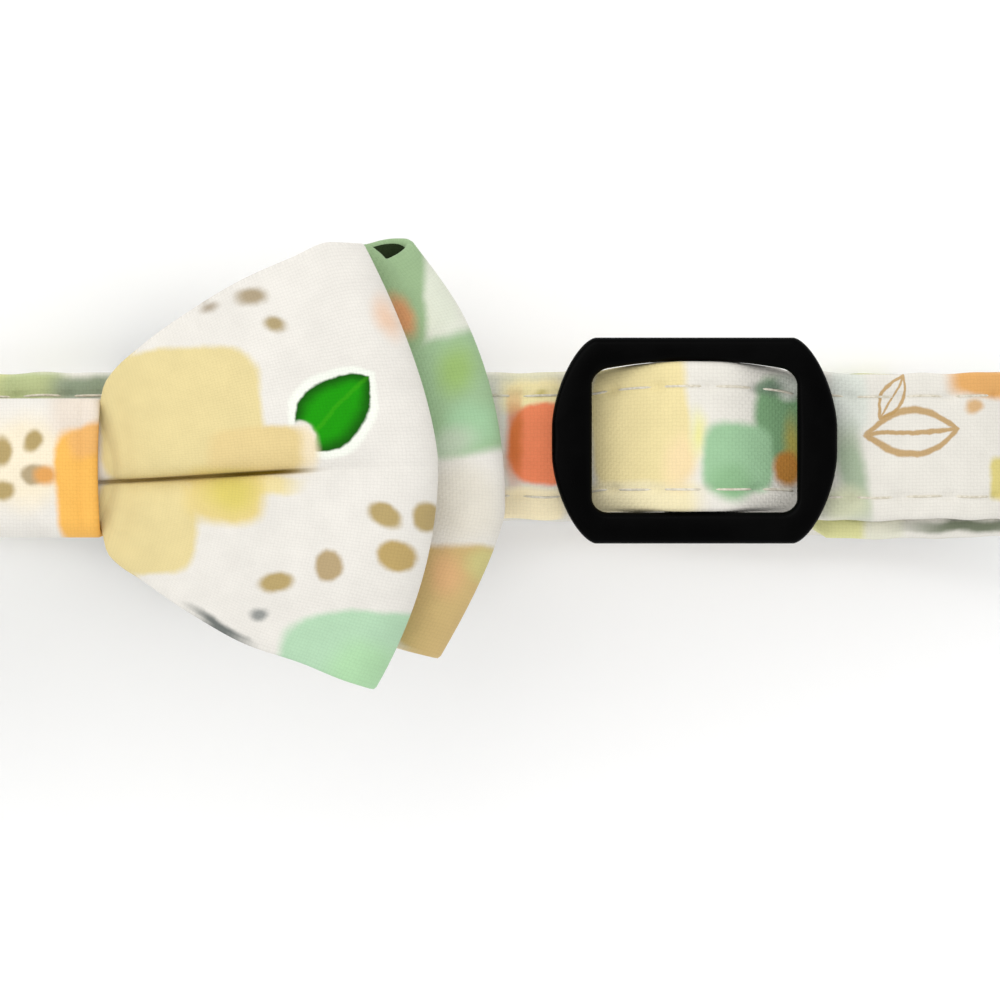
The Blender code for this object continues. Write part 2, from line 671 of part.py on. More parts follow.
def extruded(name, outline, start, end, place, surface):
    """A prism of the outline. place turns an outline point and a depth into x, y and z."""
    points = [place(a, b, start) for a, b in outline] + [place(a, b, end) for a, b in outline]
    return new_object(name, points, ring_faces(2, len(outline), closed=False), surface)


def build_buckle(surface):
    """One plain clasp, with a recessed bar at each end that the strap turns round."""
    half_length, half_width = BUCKLE_LENGTH / 2, BUCKLE_WIDTH / 2
    corners = rounded_corners((-half_length, -half_width), (half_length, half_width), (BUCKLE_CORNER,) * 2)
    waist = []
    for sign in (-1, 1):
        steps = [BUCKLE_WAIST_LENGTH * (k / WAIST_STEPS - 0.5) for k in range(WAIST_STEPS + 1)]
        pinch = [BUCKLE_WAIST * (1 + math.cos(2 * math.pi * x / BUCKLE_WAIST_LENGTH)) / 2 for x in steps]
        waist.append([(-sign * x, sign * (half_width - depth)) for x, depth in zip(steps, pinch)])
    half = len(corners) // 2
    outline = corners[: half // 2] + waist[0] + corners[half // 2 : half + half // 2] + waist[1]
    outline += corners[half + half // 2 :]

    def flat(x, y, z):
        return x, y, z

    def upright(x, z, y):
        return x, y, z

    body = extruded("buckle", outline, 0.0, BUCKLE_THICK, flat, surface)
    bevel = body.modifiers.new("softened edges", "BEVEL")
    bevel.width = BUCKLE_EDGE
    bevel.segments = BEVEL_STEPS
    bevel.limit_method = "ANGLE"
    bevel.angle_limit = math.radians(BEVEL_ANGLE)

    bar_outer, bar_inner = half_length, half_length - BUCKLE_BAR_WIDTH
    slot_inner = bar_inner - BUCKLE_SLOT
    past, below, above = bar_outer + BUCKLE_SLOT, -BUCKLE_SLOT, BUCKLE_THICK + BUCKLE_SLOT
    bar_low, bar_high = BUCKLE_BAR_Z - BUCKLE_BAR_THICK / 2, BUCKLE_BAR_Z + BUCKLE_BAR_THICK / 2
    round_bar = (
        (slot_inner, below),
        (past, below),
        (past, bar_low),
        (bar_inner + BUCKLE_EDGE, bar_low),
        (bar_inner, bar_low + BUCKLE_EDGE),
        (bar_inner, bar_high - BUCKLE_EDGE),
        (bar_inner + BUCKLE_EDGE, bar_high),
        (past, bar_high),
        (past, above),
        (slot_inner, above),
    )
    for name, sign in (("left", -1), ("right", 1)):
        profile = [(sign * x, z) for x, z in round_bar]
        cutter = extruded(f"buckle_{name}_tool", profile, -SLOT_WIDTH / 2, SLOT_WIDTH / 2, upright, None)
        join_tool(body, cutter, "DIFFERENCE")
    return body


def main():
    for old in list(bpy.data.objects):
        bpy.data.objects.remove(old)

    printed_cotton, strap_cotton, wrap_cotton, elastic, black_plastic = [
        material(finish.name, finish.colour, finish.roughness) for finish in FINISHES
    ]

    build_strap(strap_cotton)
    build_slider(black_plastic)
    build_buckle(black_plastic)
    build_layer(BACK, printed_cotton)
    build_layer(FRONT, printed_cotton)
    build_wrap(wrap_cotton)
    build_keeper("keeper_left", -1, elastic)
    build_keeper("keeper_right", 1, elastic)


main()
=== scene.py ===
"""Looks of the small pet bow tie collar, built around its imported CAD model.

Metres, +Z up, in the CAD model's own frame: the closed collar lies on its back stretch, the bow
faces +Z and +X runs along the collar from the bow to the slider. Prints are in millimetres.
"""

import math
from collections import namedtuple

import bmesh
import bpy
import numpy as np
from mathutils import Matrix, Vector


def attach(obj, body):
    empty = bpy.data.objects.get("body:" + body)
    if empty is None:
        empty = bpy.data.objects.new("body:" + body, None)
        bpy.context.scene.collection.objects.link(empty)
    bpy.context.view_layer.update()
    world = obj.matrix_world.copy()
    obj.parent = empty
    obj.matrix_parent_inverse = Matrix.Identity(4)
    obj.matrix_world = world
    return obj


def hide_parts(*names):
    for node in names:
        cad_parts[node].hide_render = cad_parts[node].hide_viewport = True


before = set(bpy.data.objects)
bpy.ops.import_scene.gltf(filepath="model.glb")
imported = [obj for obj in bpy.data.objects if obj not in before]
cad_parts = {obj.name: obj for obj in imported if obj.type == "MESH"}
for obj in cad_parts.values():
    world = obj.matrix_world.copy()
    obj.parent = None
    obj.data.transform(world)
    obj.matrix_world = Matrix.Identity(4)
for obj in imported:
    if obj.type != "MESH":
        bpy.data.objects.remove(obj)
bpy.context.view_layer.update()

MM = 0.001
UV_PER_METRE = 10.0

# The CAD model's sizes that the pieces follow
CLEARANCE = 0.0003
STRAP_SIDE_CLEARANCE = 0.00045
STRAP_WIDTH = 0.0150
STRAP_THICK = 0.0018
LOOP_SPAN = 0.1640
LOOP_HEIGHT = 0.0380
BEND_GATHERING = 0.5
RETURN_SHIFT = 0.0018
BUCKLE_TAB_LENGTH = 0.0130
SLIDER_TAB_LENGTH = 0.0090
SLIDER_X = 0.0422
SLIDER_Y = 0.0006
SLIDER_THICK = 0.0030
SLIDER_SIDE_BAR = 0.0041
SLIDER_RAIL = 0.00255
SLIDER_WINDOW_LENGTH = 0.0209
SLIDER_END_BULGE = 0.0045
SLIDER_END_FLAT = 0.0030
SLIDER_CORNER_POWER = 1.6
SLIDER_WINDOW_RADIUS = 0.0016
SLIDER_EDGE = 0.0007
SLIDER_BAR_WIDTH = 0.0028
SLIDER_BAR_THICK = 0.0016
SLIDER_CHEEK_FLAT = 0.0030
SLIDER_CHEEK_SLOPE = 0.0050
WEAVE_PROUD = 0.0005
WEAVE_FLAT = 0.0015
BUCKLE_LENGTH = 0.0360
BUCKLE_RAIL = 0.00255
BUCKLE_BAR_WIDTH = 0.0030
BUCKLE_BAR_THICK = 0.0024
BUCKLE_SLOT = 0.0036
BUCKLE_COVER = 0.0007
BUCKLE_CORNER = 0.0060
BUCKLE_WAIST = 0.0012
BUCKLE_WAIST_LENGTH = 0.0140
BUCKLE_EDGE = 0.0006
BAR_RAMP = 0.0080
BOW_X = -0.0260
CLOTH = 0.0010
WRAP_LENGTH = 0.0150
WRAP_HEIGHT = 0.01415
WRAP_CENTRE_Y = -0.0022
WRAP_WALL = 0.0010
WRAP_FRONT_RADIUS = 0.0014
WRAP_REAR_RADIUS = 0.0005
LOBE_RISE = 0.0032
NEST_MARGIN = 0.0003
CREASE_Y = -0.0038
CREASE_END_Y = -0.0020
FOLD_START = 0.92
GAPE_START = 0.89
GAPE_END = 0.95
WING_FREE = 0.222
KEEPER_X = 0.0130
KEEPER_LENGTH = 0.0060
KEEPER_THICK = 0.0010
KEEPER_RADIUS = 0.0003

Outline = namedtuple(
    "Outline", "reach fullest top_reach bottom_reach top_power bottom_power centre top bottom"
)
BACK_OUTLINE = Outline(0.0484, -0.0065, 0.0392, 0.0419, 2.2, 1.3, 0.0000, 0.0221, 0.0216)
FRONT_OUTLINE = Outline(0.0416, -0.0019, 0.0342, 0.0354, 1.5, 2.0, -0.0019, 0.0231, 0.0228)
Layer = namedtuple("Layer", "name outline edge hollow rear_lift front_lift gape")
BACK = Layer("bow_back_cloth", BACK_OUTLINE, "back_top", 0.0032, 0.15, 0.40, 0.0022)
FRONT = Layer("bow_front_cloth", FRONT_OUTLINE, "front_top", 0.0036, 0.55, 1.00, 0.0)
WingRow = namedtuple("WingRow", "along back_top front_top bottom hollow lobe crease")
WING_ROWS = (
    WingRow(0.000, 0.245, 0.245, 0.250, 0.00, 0.25, 0.80),
    WingRow(0.150, 0.245, 0.245, 0.250, 0.00, 0.25, 0.80),
    WingRow(0.222, 0.245, 0.245, 0.250, 0.04, 0.27, 0.85),
    WingRow(0.250, 0.370, 0.385, 0.392, 0.22, 0.70, 0.92),
    WingRow(0.350, 0.540, 0.533, 0.512, 0.55, 1.00, 0.90),
    WingRow(0.500, 0.700, 0.688, 0.676, 0.82, 0.95, 0.75),
    WingRow(0.650, 0.810, 0.815, 0.806, 0.95, 0.80, 0.55),
    WingRow(0.800, 0.890, 0.913, 0.884, 1.00, 0.62, 0.35),
    WingRow(0.920, 0.950, 0.982, 0.960, 0.97, 0.48, 0.22),
    WingRow(1.000, 0.990, 0.975, 1.000, 0.88, 0.40, 0.15),
)

# Heights worked out from the sizes above
FLOOR_Z = STRAP_THICK / 2
TOP_Z = LOOP_HEIGHT - STRAP_THICK / 2
STRAP_STEP = STRAP_THICK + CLEARANCE
STRAP_FACE_Z = TOP_Z + STRAP_THICK / 2
SLOT_WIDTH = STRAP_WIDTH + 2 * STRAP_SIDE_CLEARANCE
SLIDER_BOTTOM_Z = STRAP_FACE_Z + CLEARANCE
SLIDER_TOP_Z = SLIDER_BOTTOM_Z + SLIDER_THICK
SLIDER_BAR_TOP_Z = SLIDER_TOP_Z + WEAVE_PROUD - 2 * STRAP_STEP
SLIDER_BAR_Z = SLIDER_BAR_TOP_Z - SLIDER_BAR_THICK / 2
WEAVE_LIFT = SLIDER_TOP_Z + WEAVE_PROUD - STRAP_THICK / 2 - TOP_Z
SLIDER_LENGTH = SLIDER_WINDOW_LENGTH + 2 * SLIDER_SIDE_BAR
SLIDER_WIDTH = SLOT_WIDTH + 2 * SLIDER_RAIL
BUCKLE_BAR_Z = STRAP_STEP + BUCKLE_BAR_THICK / 2
BUCKLE_THICK = STRAP_STEP + BUCKLE_BAR_THICK + STRAP_STEP + BUCKLE_COVER
BUCKLE_WIDTH = SLOT_WIDTH + 2 * BUCKLE_RAIL
SHEET_STEP = CLOTH + CLEARANCE
BOW_REAR_Z = STRAP_FACE_Z + 2 * CLEARANCE + max(WRAP_WALL, KEEPER_THICK) + CLOTH / 2

# The strap's sewn channels. A dent lies so far outwards of the line of stitches.
STITCH_INSET = 0.00235
STITCH_PITCH = 0.0051
STITCH_GAP = 0.00035
STITCH_RISE = 0.00002
STITCH_DIVE = 0.00042
STITCH_CLEAR_OF_END = 0.001
THREAD_RADIUS = 0.00014
THREAD_SUNK = 0.1
THREAD_STEPS = 8
THREAD_SIDES = 6
KNOT_LENGTH = 0.00065
Dent = namedtuple("Dent", "depth outwards width")
GROOVE = Dent(0.00013, 0.0, 0.00042)
DIMPLE = Dent(0.00042, 0.0, 0.00050)
PUCKER = Dent(0.00005, -0.0016, 0.0012)
PUFF = Dent(0.00006, 0.0012, 0.0008)

# The strap's edges. A ripple's turn is its phase, which differs from side to side.
STRAP_STATION = 0.00060
STRAP_EDGE = 0.00065
STRAP_EDGE_DROP = 0.00010
EDGE_NIP = 0.00005
Ripple = namedtuple("Ripple", "depth length turn")
EDGE_RIPPLES = (Ripple(0.00010, 0.0237, 1), Ripple(0.00007, 0.0091, 2))
FACE_STEP = 0.0003
FACE_MIDDLE = 9

# The strap in the slider's window, which its arched edge fills
WINDOW_TOP = 0.00815
WINDOW_ARCH = 0.0011
WINDOW_BOTTOM = 0.0073
WINDOW_GAP = 0.00004
WINDOW_FIT = 0.0098
WINDOW_EASE = 0.0020
WINDOW_CALM = 0.8

# The print repeats along the strap, and the return layer has its own row of it
PRINT_PERIOD = 0.150
RETURN_PRINT_X = 0.052
RETURN_PRINT_Y = 0.040

# The front wing's crease, with a sharp slit in it that ends as shares of the reach
CREASE_ABOVE = 0.0010
CREASE_BELOW = 0.0018
SLIT_DEPTH = 0.00066
SLIT_WIDTH = 0.00030
SLIT_END = 0.72
SLIT_TAIL_START = 0.62
SLIT_EASE = 0.10
SLIT_TAIL = 0.10


# ---------------------------------------------------------------- meshes


def smooth(share):
    """0 up to 0 and 1 from 1 on, with an eased step between."""
    share = np.clip(share, 0.0, 1.0)
    return share * share * (3.0 - 2.0 * share)


def bell(distance, width):
    """1 at distance 0, falling off over the width."""
    return np.exp(-((distance / width) ** 2))


def row_value(column, along):
    """A column of WING_ROWS at any shares of the reach, as a curve that overshoots no row."""
    xs = np.array([row.along for row in WING_ROWS])
    ys = np.array([getattr(row, column) for row in WING_ROWS])
    slopes = np.diff(ys) / np.diff(xs)
    before, after = slopes[:-1], slopes[1:]
    product = before * after
    safe = np.where(product > 0.0, before + after, 1.0)
    inner = np.where(product > 0.0, 2.0 * product / safe, 0.0)
    tangents = np.concatenate([slopes[:1], inner, slopes[-1:]])
    along = np.clip(along, 0.0, 1.0)
    i = np.clip(np.searchsorted(xs, along, side="right") - 1, 0, len(xs) - 2)
    span = xs[i + 1] - xs[i]
    t = (along - xs[i]) / span
    return (
        ys[i] * (1 + 2 * t) * (1 - t) ** 2
        + span * tangents[i] * t * (1 - t) ** 2
        + ys[i + 1] * t * t * (3 - 2 * t)
        + span * tangents[i + 1] * t * t * (t - 1)
    )


def added(mesh, surface=None):
    """The mesh as an object of its name, with its material."""
    if surface:
        mesh.materials.append(surface)
    made = bpy.data.objects.new(mesh.name, mesh)
    bpy.context.collection.objects.link(made)
    return made


def grid_object(name, points, closed_rows, surface, uvs=None, lined=None):
    """A mesh of quads over a grid of points, whose columns close.

    uvs holds one more row and column where the grid closes. lined is a second material with the
    columns that it starts and ends at.
    """
    rows, columns = points.shape[:2]
    shape = (rows if closed_rows else rows - 1, columns)
    i, k = (part.ravel() for part in np.indices(shape))
    corners = ((i, k), (i + 1, k), (i + 1, k + 1), (i, k + 1))
    faces = np.stack([(a % rows) * columns + b % columns for a, b in corners], axis=1)
    mesh = bpy.data.meshes.new(name)
    mesh.from_pydata(points.reshape(-1, 3).tolist(), [], faces.tolist())
    for layer, values in (uvs or {}).items():
        at = np.stack([values[a, b] for a, b in corners], axis=1) * UV_PER_METRE
        made = mesh.uv_layers.new(name=layer)
        made.data.foreach_set("uv", at.astype(np.float32).ravel())
    mesh.shade_smooth()
    made = added(mesh, surface)
    if lined:
        lining, start, end = lined
        mesh.materials.append(lining)
        inside = (k >= start) & (k < end)
        mesh.polygons.foreach_set("material_index", inside.astype(np.int32))
    return made


def face_outwards(made):
    """Turns the faces of a closed mesh outwards."""
    shell = bmesh.new()
    shell.from_mesh(made.data)
    bmesh.ops.recalc_face_normals(shell, faces=shell.faces)
    shell.to_mesh(made.data)
    shell.free()


def joined(name, parts):
    """One object of several meshes."""
    with bpy.context.temp_override(active_object=parts[0], selected_editable_objects=parts):
        bpy.ops.object.join()
    parts[0].name = name
    parts[0].data.name = name
    return parts[0]


def unit(vectors):
    """The vectors at length 1."""
    return vectors / np.maximum(np.linalg.norm(vectors, axis=-1, keepdims=True), 1e-12)


def arc(points):
    """Length along a line of points, from its first."""
    steps = np.linalg.norm(np.diff(points, axis=0), axis=1)
    return np.concatenate([[0.0], np.cumsum(steps)])


def eased_across(values, passes):
    """Values on a grid, evened out across it."""
    values = values.copy()
    for _ in range(passes):
        values[:, 1:-1] = (values[:, :-2] + 2 * values[:, 1:-1] + values[:, 2:]) / 4
    return values


RIM_STEPS = 3
NORMAL_PASSES = 24


def cloth_band(name, middle, thick, surface, print_at, weave_across, dent=None, lining=None):
    """A closed band of cloth round its middle surface, a grid of stations by places across.

    print_at gives each middle point its place in the print and weave_across its place across the
    cloth. dent is how far the outer face lies deeper. lining is the inner face's material.
    """
    count, wide = middle.shape[:2]
    ahead, behind = np.roll(middle, -1, axis=0), np.roll(middle, 1, axis=0)
    across = np.gradient(middle, axis=1)
    normal = unit(np.cross(ahead - behind, across))
    if dent is not None:
        normal = unit(eased_across(normal, NORMAL_PASSES))
    side = unit(across)
    turns = np.pi * np.arange(1, RIM_STEPS + 1) / (RIM_STEPS + 1)

    def rim(k, sign):
        swing = [normal[:, k] * math.cos(t) + sign * side[:, k] * math.sin(t) for t in turns]
        return [middle[:, k] + part * thick / 2 for part in (swing if sign > 0 else swing[::-1])]

    outside = middle + normal * thick / 2
    inside = middle - normal * thick / 2
    if dent is not None:
        outside = outside - normal * dent[:, :, None]
    columns = [outside[:, k] for k in range(wide)] + rim(-1, 1)
    columns += [inside[:, k] for k in reversed(range(wide))] + rim(0, -1)
    points = np.stack(columns, axis=1)

    there, back = list(range(wide)), list(reversed(range(wide)))
    order = there + [wide - 1] * RIM_STEPS + back + [0] * (RIM_STEPS + 1)
    stations = list(range(count)) + [0]
    weave = np.empty((count + 1, len(order), 2))
    weave[:, :, 0] = arc(middle[stations, wide // 2])[:, None]
    weave[:, :, 1] = weave_across[stations][:, order]
    uvs = {"print": print_at[stations][:, order], "weave": weave}
    start = wide + RIM_STEPS
    lined = (lining, start, start + wide - 1) if lining else None
    made = grid_object(name, points, True, surface, uvs, lined)
    face_outwards(made)
    return made


# ---------------------------------------------------------------- materials


def srgb(colour, shade=1.0):
    """A colour of 0 to 255 as the shader's own linear one, darkened to a share of itself."""
    shares = [part / 255 for part in colour]
    linear = [c / 12.92 if c <= 0.04045 else ((c + 0.055) / 1.055) ** 2.4 for c in shares]
    return (*[c * shade for c in linear], 1.0)


class Surface:
    """A material under construction, with short ways to add nodes."""

    def __init__(self, name):
        self.material = bpy.data.materials.new(name)
        self.material.use_nodes = True
        self.tree = self.material.node_tree
        self.shader = self.tree.nodes["Principled BSDF"]

    def set(self, **sockets):
        for key, value in sockets.items():
            self.fill(self.shader, {key.replace("_", " "): value})

    def fill(self, node, inputs):
        for key, value in inputs.items():
            if isinstance(value, bpy.types.NodeSocket):
                self.tree.links.new(value, node.inputs[key])
            else:
                node.inputs[key].default_value = value

    def node(self, kind, inputs=None, **settings):
        made = self.tree.nodes.new("ShaderNode" + kind)
        for key, value in settings.items():
            setattr(made, key, value)
        self.fill(made, inputs or {})
        return made

    def math(self, operation, *values):
        return self.node("Math", dict(enumerate(values)), operation=operation).outputs[0]

    def vector(self, operation, *values):
        made = self.node("VectorMath", dict(enumerate(values)), operation=operation)
        return made.outputs["Value" if operation == "LENGTH" else "Vector"]

    def scaled(self, vector, scale):
        return self.node("VectorMath", {0: vector, "Scale": scale}, operation="SCALE").outputs[0]

    def ramp(self, value, low, high, start=0.0, end=1.0):
        """Eased from start to end while the value goes from low to high."""
        inputs = {0: value, 1: low, 2: high, 3: start, 4: end}
        return self.node("MapRange", inputs, interpolation_type="SMOOTHSTEP").outputs[0]

    def mix(self, share, first, second, blend="MIX"):
        inputs = {0: share, 6: first, 7: second}
        return self.node("Mix", inputs, data_type="RGBA", blend_type=blend).outputs[2]

    def shaded(self, colour, value):
        """The colour times a value."""
        grey = self.node("CombineXYZ", {0: value, 1: value, 2: value}).outputs[0]
        return self.mix(1.0, colour, grey, "MULTIPLY")

    def bump(self, height, strength, distance):
        inputs = {"Height": height, "Strength": strength, "Distance": distance}
        return self.node("Bump", inputs).outputs[0]

    def noise(self, where, scale, detail=2.0, rough=0.5):
        inputs = {"Vector": where, "Scale": scale, "Detail": detail, "Roughness": rough}
        return self.node("TexNoise", inputs)

    def uv(self, name):
        """A UV map in millimetres."""
        return self.scaled(self.node("UVMap", uv_map=name).outputs[0], 1 / (UV_PER_METRE * MM))

    def place(self):
        """The place on the object, in metres."""
        return self.node("TexCoord").outputs["Object"]

    def local(self, where, x, y, half_x, half_y, turn):
        """Places from a shape's middle, as shares of its half sizes."""
        inputs = {
            "Vector": where,
            "Location": (x, y, 0.0),
            "Rotation": (0.0, 0.0, math.radians(turn)),
            "Scale": (half_x, half_y, 1.0),
        }
        return self.node("Mapping", inputs, vector_type="TEXTURE").outputs[0]

    def parts(self, vector):
        return self.node("SeparateXYZ", {0: vector}).outputs

    def threads(self, value, pitch):
        """Round threads side by side along the value, from 0 between them to 1 on top."""
        wave = self.math("SINE", self.math("MULTIPLY", value, math.pi / pitch))
        return self.math("ABSOLUTE", wave)


# A printed shape, in millimetres: a round or squarish spot, turned by so many degrees. soft: how
# far its colour takes to fade at the edge.
Spot = namedtuple("Spot", "x y half_x half_y turn colour square soft", defaults=(False, 0.35))

OFF_WHITE = (234, 230, 222)
SAND = (228, 211, 154)
DEEP_SAND = (228, 205, 146)
YELLOW = (228, 207, 138)
BROWN = (182, 160, 108)
MINT = (180, 214, 180)
SAGE = (168, 196, 154)
ORANGE = (246, 187, 92)
HALO = (246, 250, 238)
LEAF_EDGE = (16, 86, 0)
LEAF_MIDDLE = (26, 152, 0)
LEAF_RIB = (84, 186, 20)
LEAF_STALK = (58, 78, 6)
DRAWN_LINE = (190, 154, 98)


def spot_share(surface, where, spot):
    """How much of the spot's colour shows, from 0 to 1."""
    local = surface.local(where, spot.x, spot.y, spot.half_x, spot.half_y, spot.turn)
    if spot.square:
        squared = surface.vector("MULTIPLY", local, local)
        far = surface.math("SQRT", surface.vector("LENGTH", squared))
    else:
        far = surface.vector("LENGTH", local)
    edge = spot.soft / min(spot.half_x, spot.half_y)
    return surface.ramp(far, 1.0 + edge, 1.0 - edge)


def leaf_shape(surface, where, x, y, length, half_width, turn):
    """Along a leaf from its middle, across it, and how far inside its outline, as shares."""
    parts = surface.parts(surface.local(where, x, y, length / 2, half_width, turn))
    squared = surface.math("MULTIPLY", parts[0], parts[0])
    across = surface.math("ABSOLUTE", parts[1])
    inside = surface.math("SUBTRACT", surface.math("SUBTRACT", 1.0, squared), across)
    return parts[0], across, inside


def leaf(surface, where, colour, x, y, length, half_width, turn, bite=None):
    """A printed leaf with a paler halo, a darker edge and a midrib, over the colour so far."""
    along, across, inside = leaf_shape(surface, where, x, y, length, half_width, turn)
    near = surface.math("LESS_THAN", surface.math("ABSOLUTE", along), 1.25)
    halo = surface.math("MULTIPLY", surface.ramp(inside, -0.34, -0.14), near)
    body = surface.ramp(inside, -0.03, 0.07)
    if bite:
        left = surface.math("SUBTRACT", 1.0, spot_share(surface, where, bite))
        halo = surface.math("MULTIPLY", halo, left)
        body = surface.math("MULTIPLY", body, left)
    middle = surface.ramp(inside, 0.0, 0.55)
    rib = surface.ramp(across, 0.10, 0.02)
    green = surface.mix(middle, srgb(LEAF_EDGE), srgb(LEAF_MIDDLE))
    green = surface.mix(surface.math("MULTIPLY", rib, 0.22), green, srgb(LEAF_RIB))
    green = surface.mix(surface.ramp(along, -0.5, -1.0), green, srgb(LEAF_STALK))
    colour = surface.mix(surface.math("MULTIPLY", halo, 0.85), colour, srgb(HALO))
    return surface.mix(body, colour, green)


def drawn_leaf(surface, where, colour, x, y, length, half_width, turn):
    """A leaf drawn as a brown line round it and along its middle."""
    along, across, inside = leaf_shape(surface, where, x, y, length, half_width, turn)
    rim = surface.ramp(surface.math("ABSOLUTE", inside), 0.22, 0.10)
    near = surface.ramp(surface.math("ABSOLUTE", along), 1.16, 1.06)
    middle = surface.ramp(across, 0.14, 0.06)
    rib = surface.math("MULTIPLY", middle, surface.ramp(inside, -0.1, 0.1))
    line = surface.math("MULTIPLY", surface.math("MAXIMUM", rim, rib), near)
    return surface.mix(surface.math("MULTIPLY", line, 0.9), colour, srgb(DRAWN_LINE))


# How a print's edges waver: noise of this scale and detail moves them by so many millimetres.
Waver = namedtuple("Waver", "scale detail reach")
WAVERS = (Waver(0.16, 1.0, 1.5), Waver(1.1, 2.0, 0.35))


def printed_cloth(name, base, spots, paint_first=None, painted_crease_shade=()):
    """Cotton with a soft print. paint_first(surface, where, colour) adds what lies under the spots.

    Its last argument holds painted crease shade: spots laid over the print whose edges don't waver.
    """
    surface = Surface(name)
    plain = where = surface.uv("print")
    for waver in WAVERS:
        noise = surface.noise(plain, waver.scale, waver.detail).outputs["Color"]
        moved = surface.scaled(surface.vector("SUBTRACT", noise, (0.5,) * 3), waver.reach)
        where = surface.vector("ADD", where, moved)

    wash = surface.ramp(surface.noise(plain, 0.11, 3.0).outputs[0], 0.35, 0.75)
    colour = surface.mix(wash, srgb(base), srgb([part * 0.98 for part in base]))
    if paint_first:
        colour = paint_first(surface, where, colour)
    for spot in spots:
        colour = surface.mix(spot_share(surface, where, spot), colour, srgb(spot.colour))
    # Painted crease shade, laid over the print with unwavering edges.
    for spot in painted_crease_shade:
        colour = surface.mix(spot_share(surface, plain, spot), colour, srgb(spot.colour))
    pale = surface.noise(plain, 0.35, 4.0, 0.6).outputs[0]
    tint = surface.ramp(pale, 0.25, 0.75, 0.97 * CLOTH_SHADE, 1.03 * CLOTH_SHADE)
    return cotton(surface, surface.shaded(colour, tint))


THREAD_PITCH = 0.36  # millimetres
RIB_PITCH = 0.45  # millimetres
CLOTH_SHADE = 0.90


def cotton(surface, colour):
    """Finishes a cloth surface of this colour with a plain weave, slubs and a soft sheen."""
    threads = surface.uv("weave")
    slub = surface.noise(threads, 0.9, 2.0).outputs["Color"]
    bent = surface.vector("ADD", threads, surface.scaled(slub, 0.22))
    warp, weft = (surface.threads(part, THREAD_PITCH) for part in surface.parts(bent)[:2])
    over = surface.node("TexChecker", {"Vector": bent, "Scale": 1.0 / THREAD_PITCH}).outputs["Fac"]
    inputs = {0: over, 2: warp, 3: weft}
    weave = surface.node("Mix", inputs, data_type="FLOAT").outputs[0]
    fibre = surface.noise(threads, 7.0, 3.0, 0.65).outputs[0]
    height = surface.math("MULTIPLY_ADD", fibre, 0.5, weave)
    colour = surface.shaded(colour, surface.ramp(weave, 0.0, 0.8, 0.93, 1.0))
    rough = surface.ramp(fibre, 0.2, 0.8, 0.84, 0.96)
    surface.set(Base_Color=colour, Roughness=rough, Normal=surface.bump(height, 0.5, 0.00005))
    surface.set(Sheen_Weight=0.05, Sheen_Roughness=0.5, Specular_IOR_Level=0.15)
    return surface.material


def bow_front_material():
    spots = [
        Spot(28.4, -0.3, 1.5, 2.2, 0, (240, 224, 190), False, 0.6),
        Spot(16.0, 2.9, 8.3, 6.9, 4, SAND, True, 0.4),
        Spot(23.6, -0.5, 4.6, 2.5, 0, DEEP_SAND, True, 0.4),
        Spot(12.6, -7.9, 5.2, 4.8, 0, SAND, True, 0.4),
        Spot(24.0, -3.9, 3.6, 0.9, -4, (232, 216, 160), True, 0.4),
        Spot(20.6, -4.8, 3.8, 2.7, -4, YELLOW, True, 0.7),
        Spot(21.2, -4.6, 2.4, 1.8, 0, (218, 202, 108), False, 1.3),
        Spot(36.7, 13.0, 0.9, 1.9, 22, (238, 206, 180), False, 0.8),
        Spot(23.1, 15.0, 1.4, 0.85, 12, (172, 156, 128), False, 0.45),
        Spot(25.6, 12.4, 1.1, 0.75, 0, (176, 158, 118), False, 0.4),
        Spot(19.1, 13.7, 0.85, 0.42, 24, (176, 164, 146), False, 0.4),
        Spot(36.6, -7.2, 1.6, 1.1, -32, BROWN),
        Spot(40.6, -7.2, 1.35, 1.5, 0, BROWN),
        Spot(37.8, -11.0, 1.75, 1.5, 0, (188, 162, 104)),
        Spot(31.0, -12.3, 1.4, 1.4, 20, (184, 162, 122)),
        Spot(25.6, -13.7, 1.7, 1.05, 3, BROWN),
        Spot(23.8, -16.8, 0.8, 0.62, -12, (148, 150, 146), False, 0.35),
        Spot(35.2, -22.8, 9.0, 6.0, 0, MINT, True, 0.45),
        Spot(34.4, -22.4, 3.4, 2.4, 0, (176, 216, 170), False, 1.3),
        # Painted shadow: a grey stroke along the bottom edge, where the opening between the sheets
        # is shaded.
        Spot(20.2, -18.0, 3.0, 0.42, -31, (112, 116, 112), False, 0.3),
    ]

    def leaves(surface, where, colour):
        bite = Spot(28.1, 0.9, 1.5, 1.5, 0, HALO, False, 0.25)
        return leaf(surface, where, colour, 31.3, 3.3, 11.0, 3.4, 45, bite)

    # Painted shade along the crease where the fold is shadowed: thin dark olive lines over the
    # print, the paler one nearer the wrap.
    painted_crease_shade = [
        Spot(15.0, -3.25, 7.0, 0.17, 3.3, (176, 150, 84), True, 0.14),
        Spot(24.0, -2.74, 4.6, 0.24, 3.6, (122, 98, 18), True, 0.16),
    ]
    return printed_cloth("front_print_and_painted_shade", OFF_WHITE, spots, leaves, painted_crease_shade)


